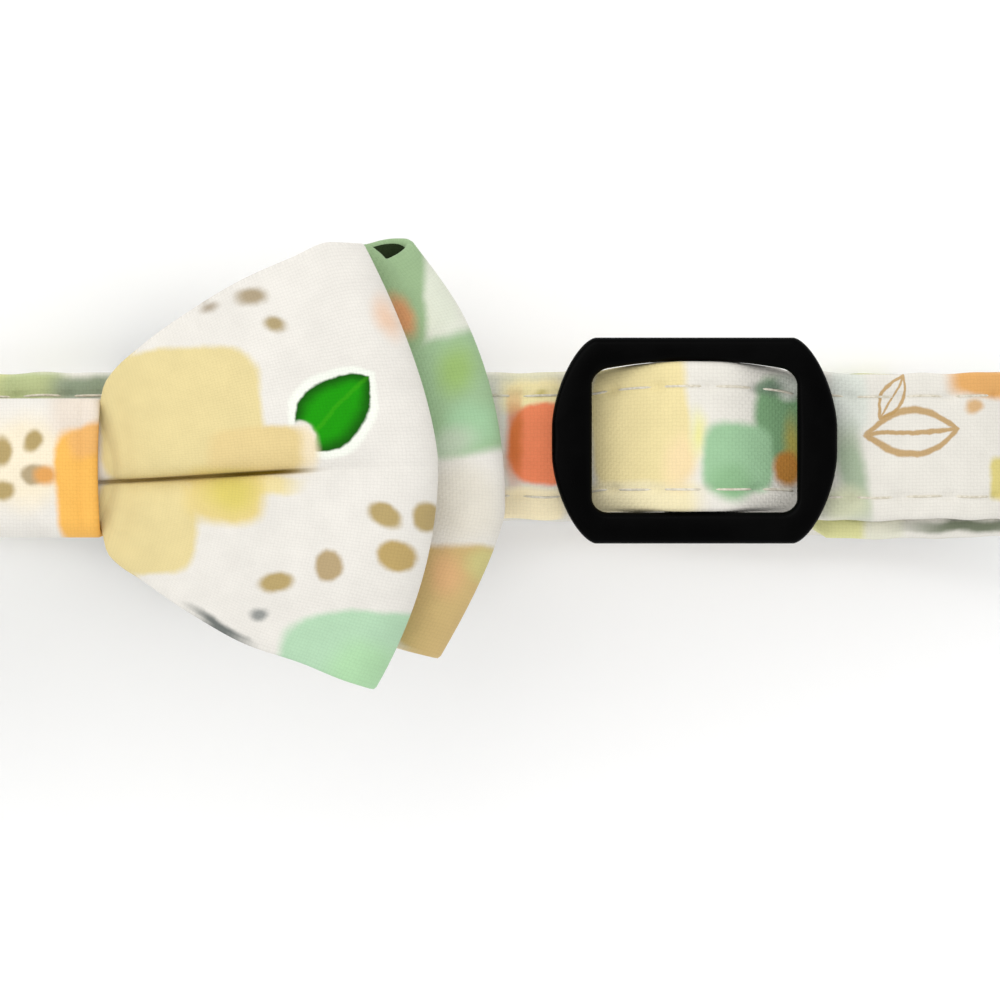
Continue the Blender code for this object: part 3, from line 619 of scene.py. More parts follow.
def bow_back_material():
    spots = [
        Spot(41.0, 16.0, 2.2, 5.4, 22, (222, 226, 208), True, 0.8),
        Spot(36.7, 15.6, 4.0, 7.0, 4, (156, 184, 140), True, 0.5),
        Spot(38.3, 13.4, 1.2, 2.1, 22, (214, 156, 108), False, 0.7),
        Spot(44.2, 5.2, 5.0, 6.2, 14, (160, 190, 148), True, 0.6),
        Spot(43.7, 7.8, 1.6, 2.2, 0, (156, 188, 114), False, 1.2),
        Spot(45.4, 2.2, 2.4, 2.2, 0, (164, 202, 160), False, 1.2),
        Spot(43.2, 0.2, 2.4, 1.4, 18, (190, 206, 180), False, 1.0),
        Spot(44.4, -6.0, 3.6, 4.0, 0, (228, 222, 208), False, 1.5),
        Spot(43.6, -15.8, 6.0, 5.7, 0, (208, 180, 122), True, 0.5),
        Spot(42.8, -12.9, 1.4, 2.2, 0, (222, 178, 126), False, 1.0),
        Spot(46.6, -12.2, 1.7, 1.8, 0, (206, 196, 132), False, 0.8),
        Spot(12.0, 6.0, 6.5, 5.0, 0, SAND, True),
        Spot(24.0, -7.0, 6.0, 4.0, 30, MINT),
    ]

    def leaves(surface, where, colour):
        return leaf(surface, where, colour, 24.0, 9.0, 10.0, 2.8, 60)

    return printed_cloth("back_print", OFF_WHITE, spots, leaves)


def lining_material():
    """The cloth's reverse, on which the print shows faintly, with painted shade in the back wing's
    gape.
    """
    spots = [
        # Painted shade: a near-black patch on the back sheet's inner face, where the gape at the
        # wing's top corner is in shadow.
        Spot(38.8, 19.5, 4.2, 4.4, 0, (38, 52, 26), True, 0.6),
        Spot(15.5, 3.5, 8.3, 7.0, 3, (226, 216, 186), True, 1.2),
        Spot(33.0, -20.0, 6.0, 5.0, 0, (204, 216, 200), True, 1.2),
    ]
    return printed_cloth("lining_print_and_painted_shade", (226, 223, 216), spots)


def wrap_material():
    spots = [
        Spot(0.0, -1.6, 4.6, 4.6, 0, (246, 234, 208), False, 1.5),
        Spot(5.6, 3.0, 3.0, 2.2, 0, (232, 220, 206), True, 0.9),
        Spot(5.9, -4.0, 2.7, 5.8, 4, ORANGE, True, 0.4),
        Spot(6.4, 0.6, 2.0, 1.6, 24, (238, 182, 108), True, 0.5),
        Spot(-2.2, -0.4, 1.05, 1.6, 6, BROWN),
        Spot(0.8, 0.6, 0.9, 1.1, -10, BROWN),
        Spot(-2.1, -4.4, 1.1, 0.95, 0, BROWN),
        Spot(1.2, -2.9, 1.3, 1.05, 0, (180, 162, 128)),
        Spot(2.3, -3.0, 1.0, 0.95, 0, (226, 164, 92), False, 0.5),
        Spot(-6.0, 3.0, 2.0, 2.4, 0, MINT, True),
        Spot(-5.6, -8.0, 2.6, 2.0, 0, SAND, True),
    ]
    return printed_cloth("wrap_print", OFF_WHITE, spots)


def strap_material():
    back = RETURN_PRINT_Y / MM
    spots = [
        Spot(-29.6, 6.4, 2.4, 1.9, 0, (224, 222, 160), True, 0.6),
        Spot(-25.4, 6.2, 3.6, 1.5, 0, (190, 200, 148), True, 0.6),
        Spot(-20.0, 6.1, 3.2, 1.1, 0, (150, 164, 140), True, 0.6),
        Spot(25.6, 7.2, 3.2, 0.9, 0, (226, 220, 190), True, 0.5),
        Spot(25.8, 5.0, 3.2, 1.6, 0, (252, 236, 182), True, 0.5),
        Spot(26.7, 5.1, 0.5, 0.4, 0, (214, 198, 128), False, 0.4),
        Spot(27.0, 0.1, 3.4, 4.0, 0, (255, 146, 102), True, 0.3),
        # Painted shadow: a darker coral strip along the back wing's edge, where the bow shades the
        # strap.
        Spot(23.9, 0.6, 0.7, 3.6, 0, (222, 122, 66), True, 0.5),
        Spot(25.6, -6.2, 3.4, 2.0, 0, (252, 238, 200), True, 0.4),
        Spot(36.7, 1.8, 4.9, 7.6, 0, (236, 220, 164), True, 0.5),
        Spot(36.7, -6.4, 6.0, 2.0, 0, (240, 228, 186), True, 0.5),
        Spot(40.9, -2.4, 1.5, 2.6, 0, (244, 220, 172), False, 0.9),
        Spot(42.5, 0.4, 0.8, 1.9, 0, (236, 232, 160), False, 0.8),
        Spot(50.8, 2.0, 3.0, 4.4, 0, (126, 166, 122), True, 0.6),
        Spot(51.6, 5.6, 1.6, 1.4, 0, (222, 226, 214), False, 0.6),
        Spot(49.6, 5.3, 1.6, 0.7, 0, (116, 136, 116), False, 0.6),
        Spot(46.4, -2.0, 3.3, 3.6, 0, (158, 198, 156), True, 0.5),
        Spot(45.6, -4.6, 1.8, 1.8, 0, (146, 188, 142), False, 0.9),
        Spot(52.2, -0.6, 1.0, 2.6, 0, (176, 166, 84), False, 0.8),
        Spot(51.4, -3.0, 1.7, 1.9, 0, (188, 130, 58), False, 0.5),
        Spot(57.8, 4.6, 1.9, 3.2, 0, (222, 226, 216), True, 0.6),
        Spot(58.2, -2.8, 1.3, 4.6, 8, (172, 188, 160), True, 0.7),
        Spot(57.4, -5.8, 2.2, 1.8, 0, (214, 216, 184), False, 1.0),
        Spot(72.0, 6.4, 3.6, 1.5, -6, (228, 172, 104), True, 0.5),
        Spot(70.8, 3.9, 0.9, 0.7, 0, (216, 178, 130)),
        Spot(74.2, -3.4, 1.7, 2.2, 0, (220, 206, 130), True),
        Spot(-44.0, 1.0, 6.0, 5.0, 10, SAGE, True),
        Spot(-58.0, -3.5, 5.0, 3.2, -12, ORANGE, True),
        Spot(-66.0, 3.0, 1.0, 0.9, 0, BROWN),
        Spot(-63.5, 4.4, 0.9, 1.0, 0, BROWN),
        Spot(-61.2, 3.0, 1.0, 0.9, 0, BROWN),
        Spot(-63.6, 1.0, 1.5, 1.2, 0, BROWN),
        Spot(-5.0, -2.0, 7.0, 4.5, 0, SAND, True),
        Spot(8.0, 3.0, 5.0, 3.0, 20, MINT, True),
        Spot(57.0, back - 6.8, 2.9, 2.2, 0, (224, 222, 160), True, 0.6),
        Spot(61.8, back - 6.8, 1.8, 2.2, 0, (230, 228, 208), True, 0.6),
        # Painted shade: a dark line along the return layer's lower edge, where the top layer
        # overhangs it.
        Spot(70.6, back - 6.5, 6.0, 0.55, 0, (122, 130, 108), True, 0.35),
    ]

    def leaves(surface, where, colour):
        colour = leaf(surface, where, colour, -52.0, 3.6, 7.5, 2.2, -20)
        colour = drawn_leaf(surface, where, colour, 64.3, 1.5, 9.2, 2.3, 4)
        return drawn_leaf(surface, where, colour, 62.2, 5.0, 5.2, 1.1, 58)

    return printed_cloth("strap_print_and_painted_shade", (233, 229, 219), spots, leaves)


def thread_material():
    surface = Surface("thread")
    twist = surface.noise(surface.place(), 2600.0, 2.0).outputs[0]
    dark, light = srgb((206, 198, 178), CLOTH_SHADE), srgb((230, 224, 208), CLOTH_SHADE)
    colour = surface.mix(surface.ramp(twist, 0.3, 0.7), dark, light)
    rough = surface.ramp(twist, 0.2, 0.8, 0.6, 0.8)
    surface.set(Base_Color=colour, Roughness=rough, Normal=surface.bump(twist, 0.4, 0.00004))
    surface.set(Sheen_Weight=0.1, Specular_IOR_Level=0.3)
    return surface.material


def elastic_material():
    surface = Surface("elastic")
    threads = surface.uv("weave")
    knit = surface.threads(surface.parts(threads)[0], RIB_PITCH)
    fibre = surface.noise(threads, 6.0, 3.0).outputs[0]
    height = surface.math("MULTIPLY_ADD", fibre, 0.5, knit)
    dark, light = srgb((196, 193, 186), CLOTH_SHADE), srgb((228, 226, 220), CLOTH_SHADE)
    colour = surface.mix(surface.ramp(knit, 0.0, 0.9), dark, light)
    rough = surface.ramp(fibre, 0.2, 0.8, 0.75, 0.9)
    surface.set(Base_Color=colour, Roughness=rough, Normal=surface.bump(height, 0.6, 0.00007))
    surface.set(Sheen_Weight=0.1, Specular_IOR_Level=0.3)
    return surface.material


def plastic_material():
    surface = Surface("moulded_plastic")
    where = surface.place()
    grain = surface.noise(where, 4200.0, 2.0).outputs[0]
    wear = surface.noise(where, 160.0, 4.0, 0.6).outputs[0]
    colour = surface.mix(surface.ramp(wear, 0.4, 0.8), srgb((1, 1, 1)), srgb((3, 3, 3)))
    rough = surface.ramp(wear, 0.3, 0.8, 0.26, 0.42)
    surface.set(Base_Color=colour, Roughness=rough, Normal=surface.bump(grain, 0.12, 0.00003))
    surface.set(Specular_IOR_Level=0.03)
    return surface.material


# ---------------------------------------------------------------- strap

BEND_STEPS = 160
TURN_STEPS = 40
WEAVE_STEPS = 80
RAMP_STEPS = 40
STRAIGHT_STEP = 0.0010


def ease(share):
    """smooth() of one number."""
    return float(smooth(share))


def spaced(start, end, step):
    """Values from just after start up to end, no further than step apart."""
    count = max(1, math.ceil(abs(end - start) / step))
    return [start + (end - start) * i / count for i in range(1, count + 1)]


def end_bend():
    """Outward and upward places along one end bend, from the bottom stretch to the top one."""
    points = [(0.0, 0.0)]
    for step in range(BEND_STEPS):
        share = (step + 0.5) / BEND_STEPS
        turned = math.pi * share - BEND_GATHERING * math.sin(2 * math.pi * share) / 2
        points.append((points[-1][0] + math.cos(turned), points[-1][1] + math.sin(turned)))
    scale = (TOP_Z - FLOOR_Z) / points[-1][1]
    return [(out * scale, up * scale) for out, up in points]


def inward(course, distance):
    """The course moved towards the inside of the loop, which it rounds clockwise seen from -Y."""
    moved = []
    for i, (x, z) in enumerate(course):
        before, after = course[max(i - 1, 0)], course[min(i + 1, len(course) - 1)]
        along_x, along_z = after[0] - before[0], after[1] - before[1]
        length = math.hypot(along_x, along_z)
        moved.append((x + along_z / length * distance, z - along_x / length * distance))
    return moved


def bar_turn():
    """The strap's half turn round the buckle's right bar, from under it to over it."""
    radius = BUCKLE_BAR_THICK / 2 + CLEARANCE + STRAP_THICK / 2
    turn_x = BUCKLE_LENGTH / 2 - BUCKLE_BAR_WIDTH - CLEARANCE - STRAP_THICK / 2 + radius
    angles = [math.pi * step / TURN_STEPS for step in range(TURN_STEPS + 1)]
    return [(turn_x - radius * math.sin(a), BUCKLE_BAR_Z - radius * math.cos(a)) for a in angles]


def bar_ramp(end_x):
    """The strap's inner layer beside the buckle, from over the right bar to the layer below."""
    high = bar_turn()[-1]
    start_x = BUCKLE_LENGTH / 2
    low_z = FLOOR_Z + STRAP_STEP
    points = []
    for x in spaced(high[0], start_x + BAR_RAMP, BAR_RAMP / RAMP_STEPS):
        points.append((x, high[1] + (low_z - high[1]) * ease((x - start_x) / BAR_RAMP)))
    return points + [(x, low_z) for x in spaced(points[-1][0], end_x, STRAIGHT_STEP)]


def weave_z(x):
    """Height of the strap's outer layer, which rises over the slider's middle bar."""
    slope = SLIDER_WINDOW_LENGTH / 2 - WEAVE_FLAT
    return TOP_Z + WEAVE_LIFT * (1.0 - ease((abs(x - SLIDER_X) - WEAVE_FLAT) / slope))


def sideways(x, outside):
    """How far the strap lies to the side: with the slider in its window, by outside beyond it."""
    cheek = SLIDER_CHEEK_FLAT + SLIDER_CHEEK_SLOPE
    share = ease((abs(x - SLIDER_X) - cheek) / (SLIDER_LENGTH / 2 - cheek))
    return SLIDER_Y + (outside - SLIDER_Y) * share


def slider_turn():
    """The return layer's end: round the slider's middle bar and back under itself as a sewn tab."""
    radius = SLIDER_BAR_THICK / 2 + CLEARANCE + STRAP_THICK / 2
    turn_x = SLIDER_X - SLIDER_BAR_WIDTH / 2 - CLEARANCE - STRAP_THICK / 2 + radius
    angles = [math.pi * step / TURN_STEPS for step in range(TURN_STEPS + 1)]
    turn = [(turn_x - radius * math.sin(a), SLIDER_BAR_Z + radius * math.cos(a)) for a in angles]
    tab_z = TOP_Z - 2 * STRAP_STEP
    slope = SLIDER_WINDOW_LENGTH / 2 - WEAVE_FLAT
    tab = []
    for x in spaced(turn_x, turn_x + slope, slope / RAMP_STEPS):
        tab.append((x, turn[-1][1] + (tab_z - turn[-1][1]) * ease((x - turn_x) / slope)))
    end_x = SLIDER_X + SLIDER_LENGTH / 2 + SLIDER_TAB_LENGTH
    return turn + tab + [(x, tab_z) for x in spaced(tab[-1][0], end_x, STRAIGHT_STEP)]


def strap_course():
    """Middle of the whole strap as (x, z, sideways shift, print row, stretch).

    The stretch is 1 on the top, 2 in the return layer below it, 3 round the slider's bar, else 0.
    """
    bend = end_bend()
    bend_x = LOOP_SPAN / 2 - STRAP_THICK / 2 - max(out for out, up in bend)
    turn = bar_turn()
    tab_x = BUCKLE_LENGTH / 2 + BUCKLE_TAB_LENGTH
    buckle_tab = [(-x, z) for x, z in reversed(turn[1:] + bar_ramp(tab_x))]
    left = [(-turn[0][0], turn[0][1])]
    left += [(-x, FLOOR_Z) for x in spaced(turn[0][0], bend_x, STRAIGHT_STEP)]
    left += [(-bend_x - out, FLOOR_Z + up) for out, up in bend[1:]]
    weave_start = SLIDER_X - SLIDER_WINDOW_LENGTH / 2
    weave_end = SLIDER_X + SLIDER_WINDOW_LENGTH / 2
    top = [(x, TOP_Z) for x in spaced(-bend_x, weave_start, STRAIGHT_STEP)]
    weave_step = SLIDER_WINDOW_LENGTH / WEAVE_STEPS
    top += [(x, weave_z(x)) for x in spaced(weave_start, weave_end, weave_step)]
    top += [(x, TOP_Z) for x in spaced(weave_end, bend_x, STRAIGHT_STEP)]
    right = [(bend_x + out, FLOOR_Z + up) for out, up in reversed(bend[:-1])]
    to_buckle = [(x, FLOOR_Z) for x in spaced(bend_x, turn[0][0], STRAIGHT_STEP)]
    course = [(x, z, 0.0, 0, 0) for x, z in buckle_tab + left]
    course += [(x, z, sideways(x, 0.0), 0, 1) for x, z in top]
    course += [(x, z, 0.0, 0, 0) for x, z in right + to_buckle + turn[1:]]

    start_x = BUCKLE_LENGTH / 2 + BAR_RAMP
    for x, z in bar_ramp(bend_x):
        course.append((x, z, -RETURN_SHIFT * ease((x - start_x) / (bend_x - start_x)), 1, 0))
    inner = inward([(bend_x + out, FLOOR_Z + up) for out, up in reversed(bend)], STRAP_STEP)
    course += [(x, z, -RETURN_SHIFT, 1, 0) for x, z in list(reversed(inner))[1:]]
    end_turn = slider_turn()
    weave = [(x, weave_z(x)) for x in spaced(weave_start, weave_end, weave_step)]
    weave += [(x, TOP_Z) for x in spaced(weave_end, bend_x, STRAIGHT_STEP)]
    nearest = end_turn[0][0] + WEAVE_FLAT / 2
    under = [point for point in inward(weave, STRAP_STEP) if point[0] > nearest]
    course += [(x, z, sideways(x, -RETURN_SHIFT), 1, 2) for x, z in reversed(under[:-1])]
    course += [(x, z, sideways(x, -RETURN_SHIFT), 1, 3) for x, z in end_turn]
    return np.array(course)


def strap_stations():
    """The strap's course at even steps: places, tangents, lengths, print places and print rows."""
    course = strap_course()
    line = course[:, :2]
    length = arc(line)
    keep = np.concatenate([[True], np.diff(length) > 1e-7])
    course, line, length = course[keep], line[keep], length[keep]
    step_x = np.abs(np.diff(line[:, 0]))
    flat = (course[1:, 4] > 0) & (course[:-1, 4] > 0)
    steps = np.where(flat, step_x, np.diff(length))
    prints = np.concatenate([[0.0], np.cumsum(steps)])
    on_top = course[:, 4] == 1
    prints += np.interp(0.0, line[on_top, 0], line[on_top, 0] - prints[on_top])
    returning = course[:, 4] == 2
    jump = np.interp(RETURN_PRINT_X, line[returning][::-1, 0], prints[returning][::-1])
    prints_back = RETURN_PRINT_X + jump - prints
    count = int(length[-1] / STRAP_STATION)
    at = np.linspace(0.0, length[-1], count)
    row = np.interp(at, length, course[:, 3]) > 0.5
    place = np.where(row, np.interp(at, length, prints_back), np.interp(at, length, prints))
    x, z, shift = (np.interp(at, length, course[:, k]) for k in range(3))
    for _ in range(2):
        z[1:-1] = (z[:-2] + 2 * z[1:-1] + z[2:]) / 4
        x[1:-1] = (x[:-2] + 2 * x[1:-1] + x[2:]) / 4
    tangent = unit(np.gradient(np.stack([x, z], axis=1), axis=0))
    return x, z, shift, tangent, at, place, row


def edge_shift(x, z, at, row, side):
    """How far the strap's edge lies out: slightly wavy, and fitted to the slider's window in it."""
    off = np.abs(x - SLIDER_X)
    over = (1.0 - smooth((off - WINDOW_FIT) / WINDOW_EASE)) * (z > SLIDER_BAR_Z) * (row < 0.5)
    top = WINDOW_TOP - WINDOW_ARCH * (off / (SLIDER_WINDOW_LENGTH / 2)) ** 2
    fitted = (top if side > 0 else WINDOW_BOTTOM) - WINDOW_GAP - STRAP_WIDTH / 2
    return edge_wave(at, side) * (1.0 - WINDOW_CALM * over) + fitted * over


def strap_height(across, at):
    """How far the cloth's face lies from the strap's middle, with its sewn channels."""
    off = np.abs(across) - (STRAP_WIDTH / 2 - STITCH_INSET)
    phase = (at / STITCH_PITCH) % 1.0 - 0.5
    knot = bell(phase * STITCH_PITCH, KNOT_LENGTH)
    height = STRAP_THICK / 2 - STRAP_EDGE_DROP * smooth(off / STITCH_INSET)
    shares = ((GROOVE, 1.0), (DIMPLE, knot), (PUCKER, knot), (PUFF, np.cos(2 * np.pi * phase)))
    for dent, share in shares:
        height = height - dent.depth * share * bell(off - dent.outwards, dent.width)
    return height


def edge_wave(at, side):
    """Slight waves of the strap's edges, and a nip at each stitch."""
    wave = EDGE_NIP * np.cos(2 * np.pi * at / STITCH_PITCH)
    for ripple in EDGE_RIPPLES:
        wave = wave + ripple.depth * np.sin(2 * np.pi * at / ripple.length + ripple.turn * side)
    return wave


def build_strap(surface):
    x, z, shift, tangent, at, place, row = strap_stations()
    half_width = STRAP_WIDTH / 2
    line = half_width - STITCH_INSET
    near = FACE_STEP * np.arange(-3, 4)
    inner = np.linspace(-line - PUCKER.outwards, line + PUCKER.outwards, FACE_MIDDLE)
    edge_in = half_width - STRAP_EDGE
    face = np.concatenate([[-edge_in], -line + near, inner, line + near, [edge_in]])
    turns = np.linspace(0.0, np.pi, 9)[1:-1]
    tips = np.cos(turns)
    columns = []
    for sign in (1, -1):
        for y in face if sign > 0 else face[::-1]:
            wave = edge_shift(x, z, at, row, np.sign(y)) * y / half_width
            columns.append((y + wave, sign * strap_height(y, at), np.full(len(at), y)))
        edge = strap_height(edge_in, at)
        wave = sign * edge_shift(x, z, at, row, sign)
        for turn, tip in zip(turns, tips):
            y = sign * (edge_in + STRAP_EDGE * math.sin(turn))
            columns.append((y + wave, sign * edge * tip, np.full(len(at), y)))
    points, prints, weave = [], [], []
    base = RETURN_PRINT_Y * row
    period = np.floor((place + PRINT_PERIOD / 2) / PRINT_PERIOD) * PRINT_PERIOD
    for across, out, flat_y in columns:
        point = [x - tangent[:, 1] * out, across + shift, z + tangent[:, 0] * out]
        points.append(np.stack(point, axis=1))
        prints.append(np.stack([place - period, flat_y + base], axis=1))
        weave.append(np.stack([at, flat_y + 0.02 * (out < 0)], axis=1))
    points = np.stack(points, axis=1)
    maps = {"print": prints, "weave": weave}
    uvs = {name: np.stack(values + values[:1], axis=1) for name, values in maps.items()}
    made = grid_object("strap_cloth", points, False, surface, uvs)
    cap_ends(made, points.shape[0], points.shape[1])
    face_outwards(made)
    return made


def cap_ends(made, rows, columns):
    """Closes both ends of a tube of grid points, with the print of their edges."""
    shell = bmesh.new()
    shell.from_mesh(made.data)
    shell.verts.ensure_lookup_table()
    caps = []
    for start in (0, (rows - 1) * columns):
        half = columns // 2
        ring = [shell.verts[start + k] for k in range(columns)]
        for k in range(half - 1):
            corners = [ring[k], ring[k + 1], ring[columns - 2 - k], ring[columns - 1 - k]]
            if len(set(corners)) == 4:
                caps.append(shell.faces.new(corners))
    for layer in shell.loops.layers.uv.values():
        for loop in (loop for cap in caps for loop in cap.loops):
            beside = next(other for other in loop.vert.link_loops if other.face not in caps)
            loop[layer].uv = beside[layer].uv
    shell.to_mesh(made.data)
    shell.free()


def build_stitches(surface):
    """Sewn threads along both edges of the strap, on both faces."""
    x, z, shift, tangent, at, _, row = strap_stations()
    total = at[-1]
    line = STRAP_WIDTH / 2 - STITCH_INSET
    steps, around = THREAD_STEPS, THREAD_SIDES
    share = np.linspace(0.0, 1.0, steps)
    out_of_middle = np.abs(2 * share - 1)
    rise = STITCH_RISE - STITCH_DIVE * out_of_middle**5 - GROOVE.depth - THREAD_RADIUS * THREAD_SUNK
    radius = THREAD_RADIUS * np.sqrt(np.clip(1.0 - out_of_middle**8, 0.05, 1.0))
    rings, faces = [], []
    for index in range(int(total / STITCH_PITCH)):
        start = (index + 0.5) * STITCH_PITCH + STITCH_GAP
        end = (index + 1.5) * STITCH_PITCH - STITCH_GAP
        if end > total - STITCH_CLEAR_OF_END:
            continue
        s = start + (end - start) * share
        cx, cz, cs = (np.interp(s, at, values) for values in (x, z, shift))
        tx, tz = np.interp(s, at, tangent[:, 0]), np.interp(s, at, tangent[:, 1])
        for side in (-1, 1):
            moved = np.interp(s, at, edge_shift(x, z, at, row, side))
            wave = moved * line / (STRAP_WIDTH / 2) * side
            y = side * line + wave + cs
            for face in (-1, 1):
                out = face * (STRAP_THICK / 2 + rise)
                centre = np.stack([cx - tz * out, y, cz + tx * out], axis=1)
                up = np.stack([-tz, np.zeros(steps), tx], axis=1)
                ring = []
                for angle in 2 * np.pi * np.arange(around) / around:
                    offset = up * math.sin(angle) + np.array([0.0, 1.0, 0.0]) * math.cos(angle)
                    ring.append(centre + offset * radius[:, None])
                first = len(rings) * steps * around
                rings.append(np.stack(ring, axis=1).reshape(-1, 3))
                for i in range(steps - 1):
                    for k in range(around):
                        a, b = first + i * around + k, first + i * around + (k + 1) % around
                        faces.append((a, b, b + around, a + around))
                faces.append(tuple(first + k for k in reversed(range(around))))
                faces.append(tuple(first + (steps - 1) * around + k for k in range(around)))
    mesh = bpy.data.meshes.new("strap_stitches")
    mesh.from_pydata(np.concatenate(rings).tolist(), [], faces)
    mesh.shade_smooth()
    made = added(mesh, surface)
    face_outwards(made)
    return made


# ---------------------------------------------------------------- bow

CENTRE_EASE = 0.5
NEST_EASE = 0.5
CREASE_CROWDING = 1.35
CREASE_POWER = 1.25
CREASE_NARROW = 0.75
CREASE_WIDENS = 1.1
CREASE_WIDENS_FROM = 0.35
CREASE_WIDENS_OVER = 0.6
GAPE_ACROSS = 0.55
PINCH_END = 0.2
PINCH_STATIONS = 6
WING_START = 0.21
WING_STATIONS = 84
FOLD_STATIONS = 13
WING_PLACES = 57


def end_reach(outline, across):
    """How far the wing reaches at a height: -1 is its bottom corner and 1 its top corner."""
    height = outline.centre + across * np.where(across > 0, outline.top, outline.bottom)
    above = height > outline.fullest
    corner = outline.centre + np.where(above, outline.top, -outline.bottom)
    corner_reach = np.where(above, outline.top_reach, outline.bottom_reach)
    power = np.where(above, outline.top_power, outline.bottom_power)
    share = np.maximum((height - outline.fullest) / (corner - outline.fullest), 0.0)
    return outline.reach - (outline.reach - corner_reach) * share**power


def wing_centre(outline, along):
    """Height of the wing's middle, which leaves the wrap's for the outline's own."""
    share = smooth((along - WING_FREE) / CENTRE_EASE)
    return WRAP_CENTRE_Y + (outline.centre - WRAP_CENTRE_Y) * share


def crease_line(x):
    """Height of the crease that runs along both layers' front."""
    return CREASE_Y + (CREASE_END_Y - CREASE_Y) * smooth(x / FRONT_OUTLINE.reach)


def wing_across(layer, along, place):
    """Places across the wing for -1 to 1 in place, close together beside the crease."""
    outline = layer.outline
    y = crease_line(along * outline.reach) - wing_centre(outline, along)
    below = row_value("bottom", along) * outline.bottom
    above = row_value(layer.edge, along) * outline.top
    crease = np.where(y < 0, y / below, y / above)
    spread = np.abs(place) ** CREASE_CROWDING
    return np.where(place > 0, crease + (1.0 - crease) * spread, crease - (1.0 + crease) * spread)


# Soft pleats beside the centre wrap. across: where they start. drift: how far they turn outwards.
# width: across them. depth: in metres. end: the share of the reach where they have faded.
Pleat = namedtuple("Pleat", "across drift width depth end")
PLEATS = (
    Pleat(0.34, 0.10, 0.10, 0.00020, 0.62),
    Pleat(0.66, 0.06, 0.08, 0.00026, 0.50),
    Pleat(0.88, 0.02, 0.05, 0.00016, 0.44),
    Pleat(-0.52, -0.10, 0.09, 0.00022, 0.58),
    Pleat(-0.78, -0.05, 0.07, 0.00026, 0.48),
)
PLEAT_START = 0.21
PLEAT_EASE = 0.06
PLEAT_FADE = 0.25

# Slack in the cloth of the wings: waves along and across the wing, in turns per metre.
Wave = namedtuple("Wave", "x y phase depth")
WAVES = (
    Wave(38.0, 17.0, 0.4, 0.00010),
    Wave(-21.0, 44.0, 2.1, 0.00009),
    Wave(61.0, -33.0, 4.0, 0.00005),
    Wave(90.0, 71.0, 1.2, 0.00003),
)
SLACK_START = 0.3
SLACK_EASE = 0.3
SLACK_END = 0.15


def slack(side, along, across, x, y):
    """Small folds of the front sheets, as a rise. The pleats narrow along the wing."""
    rise = np.zeros_like(x)
    starting = smooth((along - PLEAT_START) / PLEAT_EASE)
    for pleat in PLEATS:
        middle = pleat.across + pleat.drift * along
        fade = smooth((pleat.end - along) / (pleat.end - PLEAT_FADE)) * starting
        rise -= pleat.depth * fade * bell(across - middle, pleat.width * (1.2 - 0.5 * along))
    shown = smooth((along - SLACK_START) / SLACK_EASE)
    for wave in WAVES:
        turns = wave.x * x * side + wave.y * y
        rise += wave.depth * shown * np.sin(2 * np.pi * turns + wave.phase + side)
    return rise


def wing_point(layer, side, along, place, sheet):
    """Points in the middle of a wing's cloth, from the bow's centre, and their places across."""
    outline = layer.outline
    across = wing_across(layer, along, place)
    x = along * end_reach(outline, across)
    share = np.where(across > 0, row_value(layer.edge, along), row_value("bottom", along))
    corner = np.where(across > 0, outline.top, outline.bottom)
    y = wing_centre(outline, along) + across * share * corner - CLOTH / 2 * across * np.abs(across)
    off = y - crease_line(x)
    widening = CREASE_WIDENS * smooth((along - CREASE_WIDENS_FROM) / CREASE_WIDENS_OVER)
    width = np.where(off > 0, CREASE_ABOVE, CREASE_BELOW) * (CREASE_NARROW + widening)
    dip = row_value("crease", along) * np.exp(-np.abs(off / width) ** CREASE_POWER)
    rise = LOBE_RISE * row_value("lobe", along) * (1.0 - across**2) * (1.0 - dip)

    base = np.full_like(x, BOW_REAR_Z)
    if layer is FRONT:
        back_along = x / end_reach(BACK_OUTLINE, across)
        base += 2 * SHEET_STEP + BACK.hollow * row_value("hollow", back_along)
        base += NEST_MARGIN * smooth(along / NEST_EASE)
    rear = base + layer.rear_lift * rise
    front = base + SHEET_STEP + layer.hollow * row_value("hollow", along) + layer.front_lift * rise
    if layer is FRONT:
        kept = smooth((FOLD_START - along) / SLACK_END + 1.0)
        front += slack(side, along, across, x, y) * kept
    past_fold = np.clip((along - FOLD_START) / (1.0 - FOLD_START), 0.0, 1.0)
    closing = np.sqrt(np.clip(1.0 - past_fold**2, 0.0, 1.0))
    facing = (1.0 + sheet * closing) / 2
    opening = smooth((along - GAPE_START) / (GAPE_END - GAPE_START))
    opening *= smooth((across - GAPE_ACROSS) / (1.0 - GAPE_ACROSS))
    y = y - layer.gape * opening * facing
    z = (front + rear) / 2 + sheet * closing * (front - rear) / 2
    tail = SLIT_TAIL * smooth((along - SLIT_TAIL_START) / SLIT_EASE)
    slit = smooth((SLIT_END - along) / SLIT_EASE) + tail
    dent = SLIT_DEPTH * bell(off, SLIT_WIDTH) * slit * (sheet > 0)
    return x, y, z, across, dent * layer.front_lift


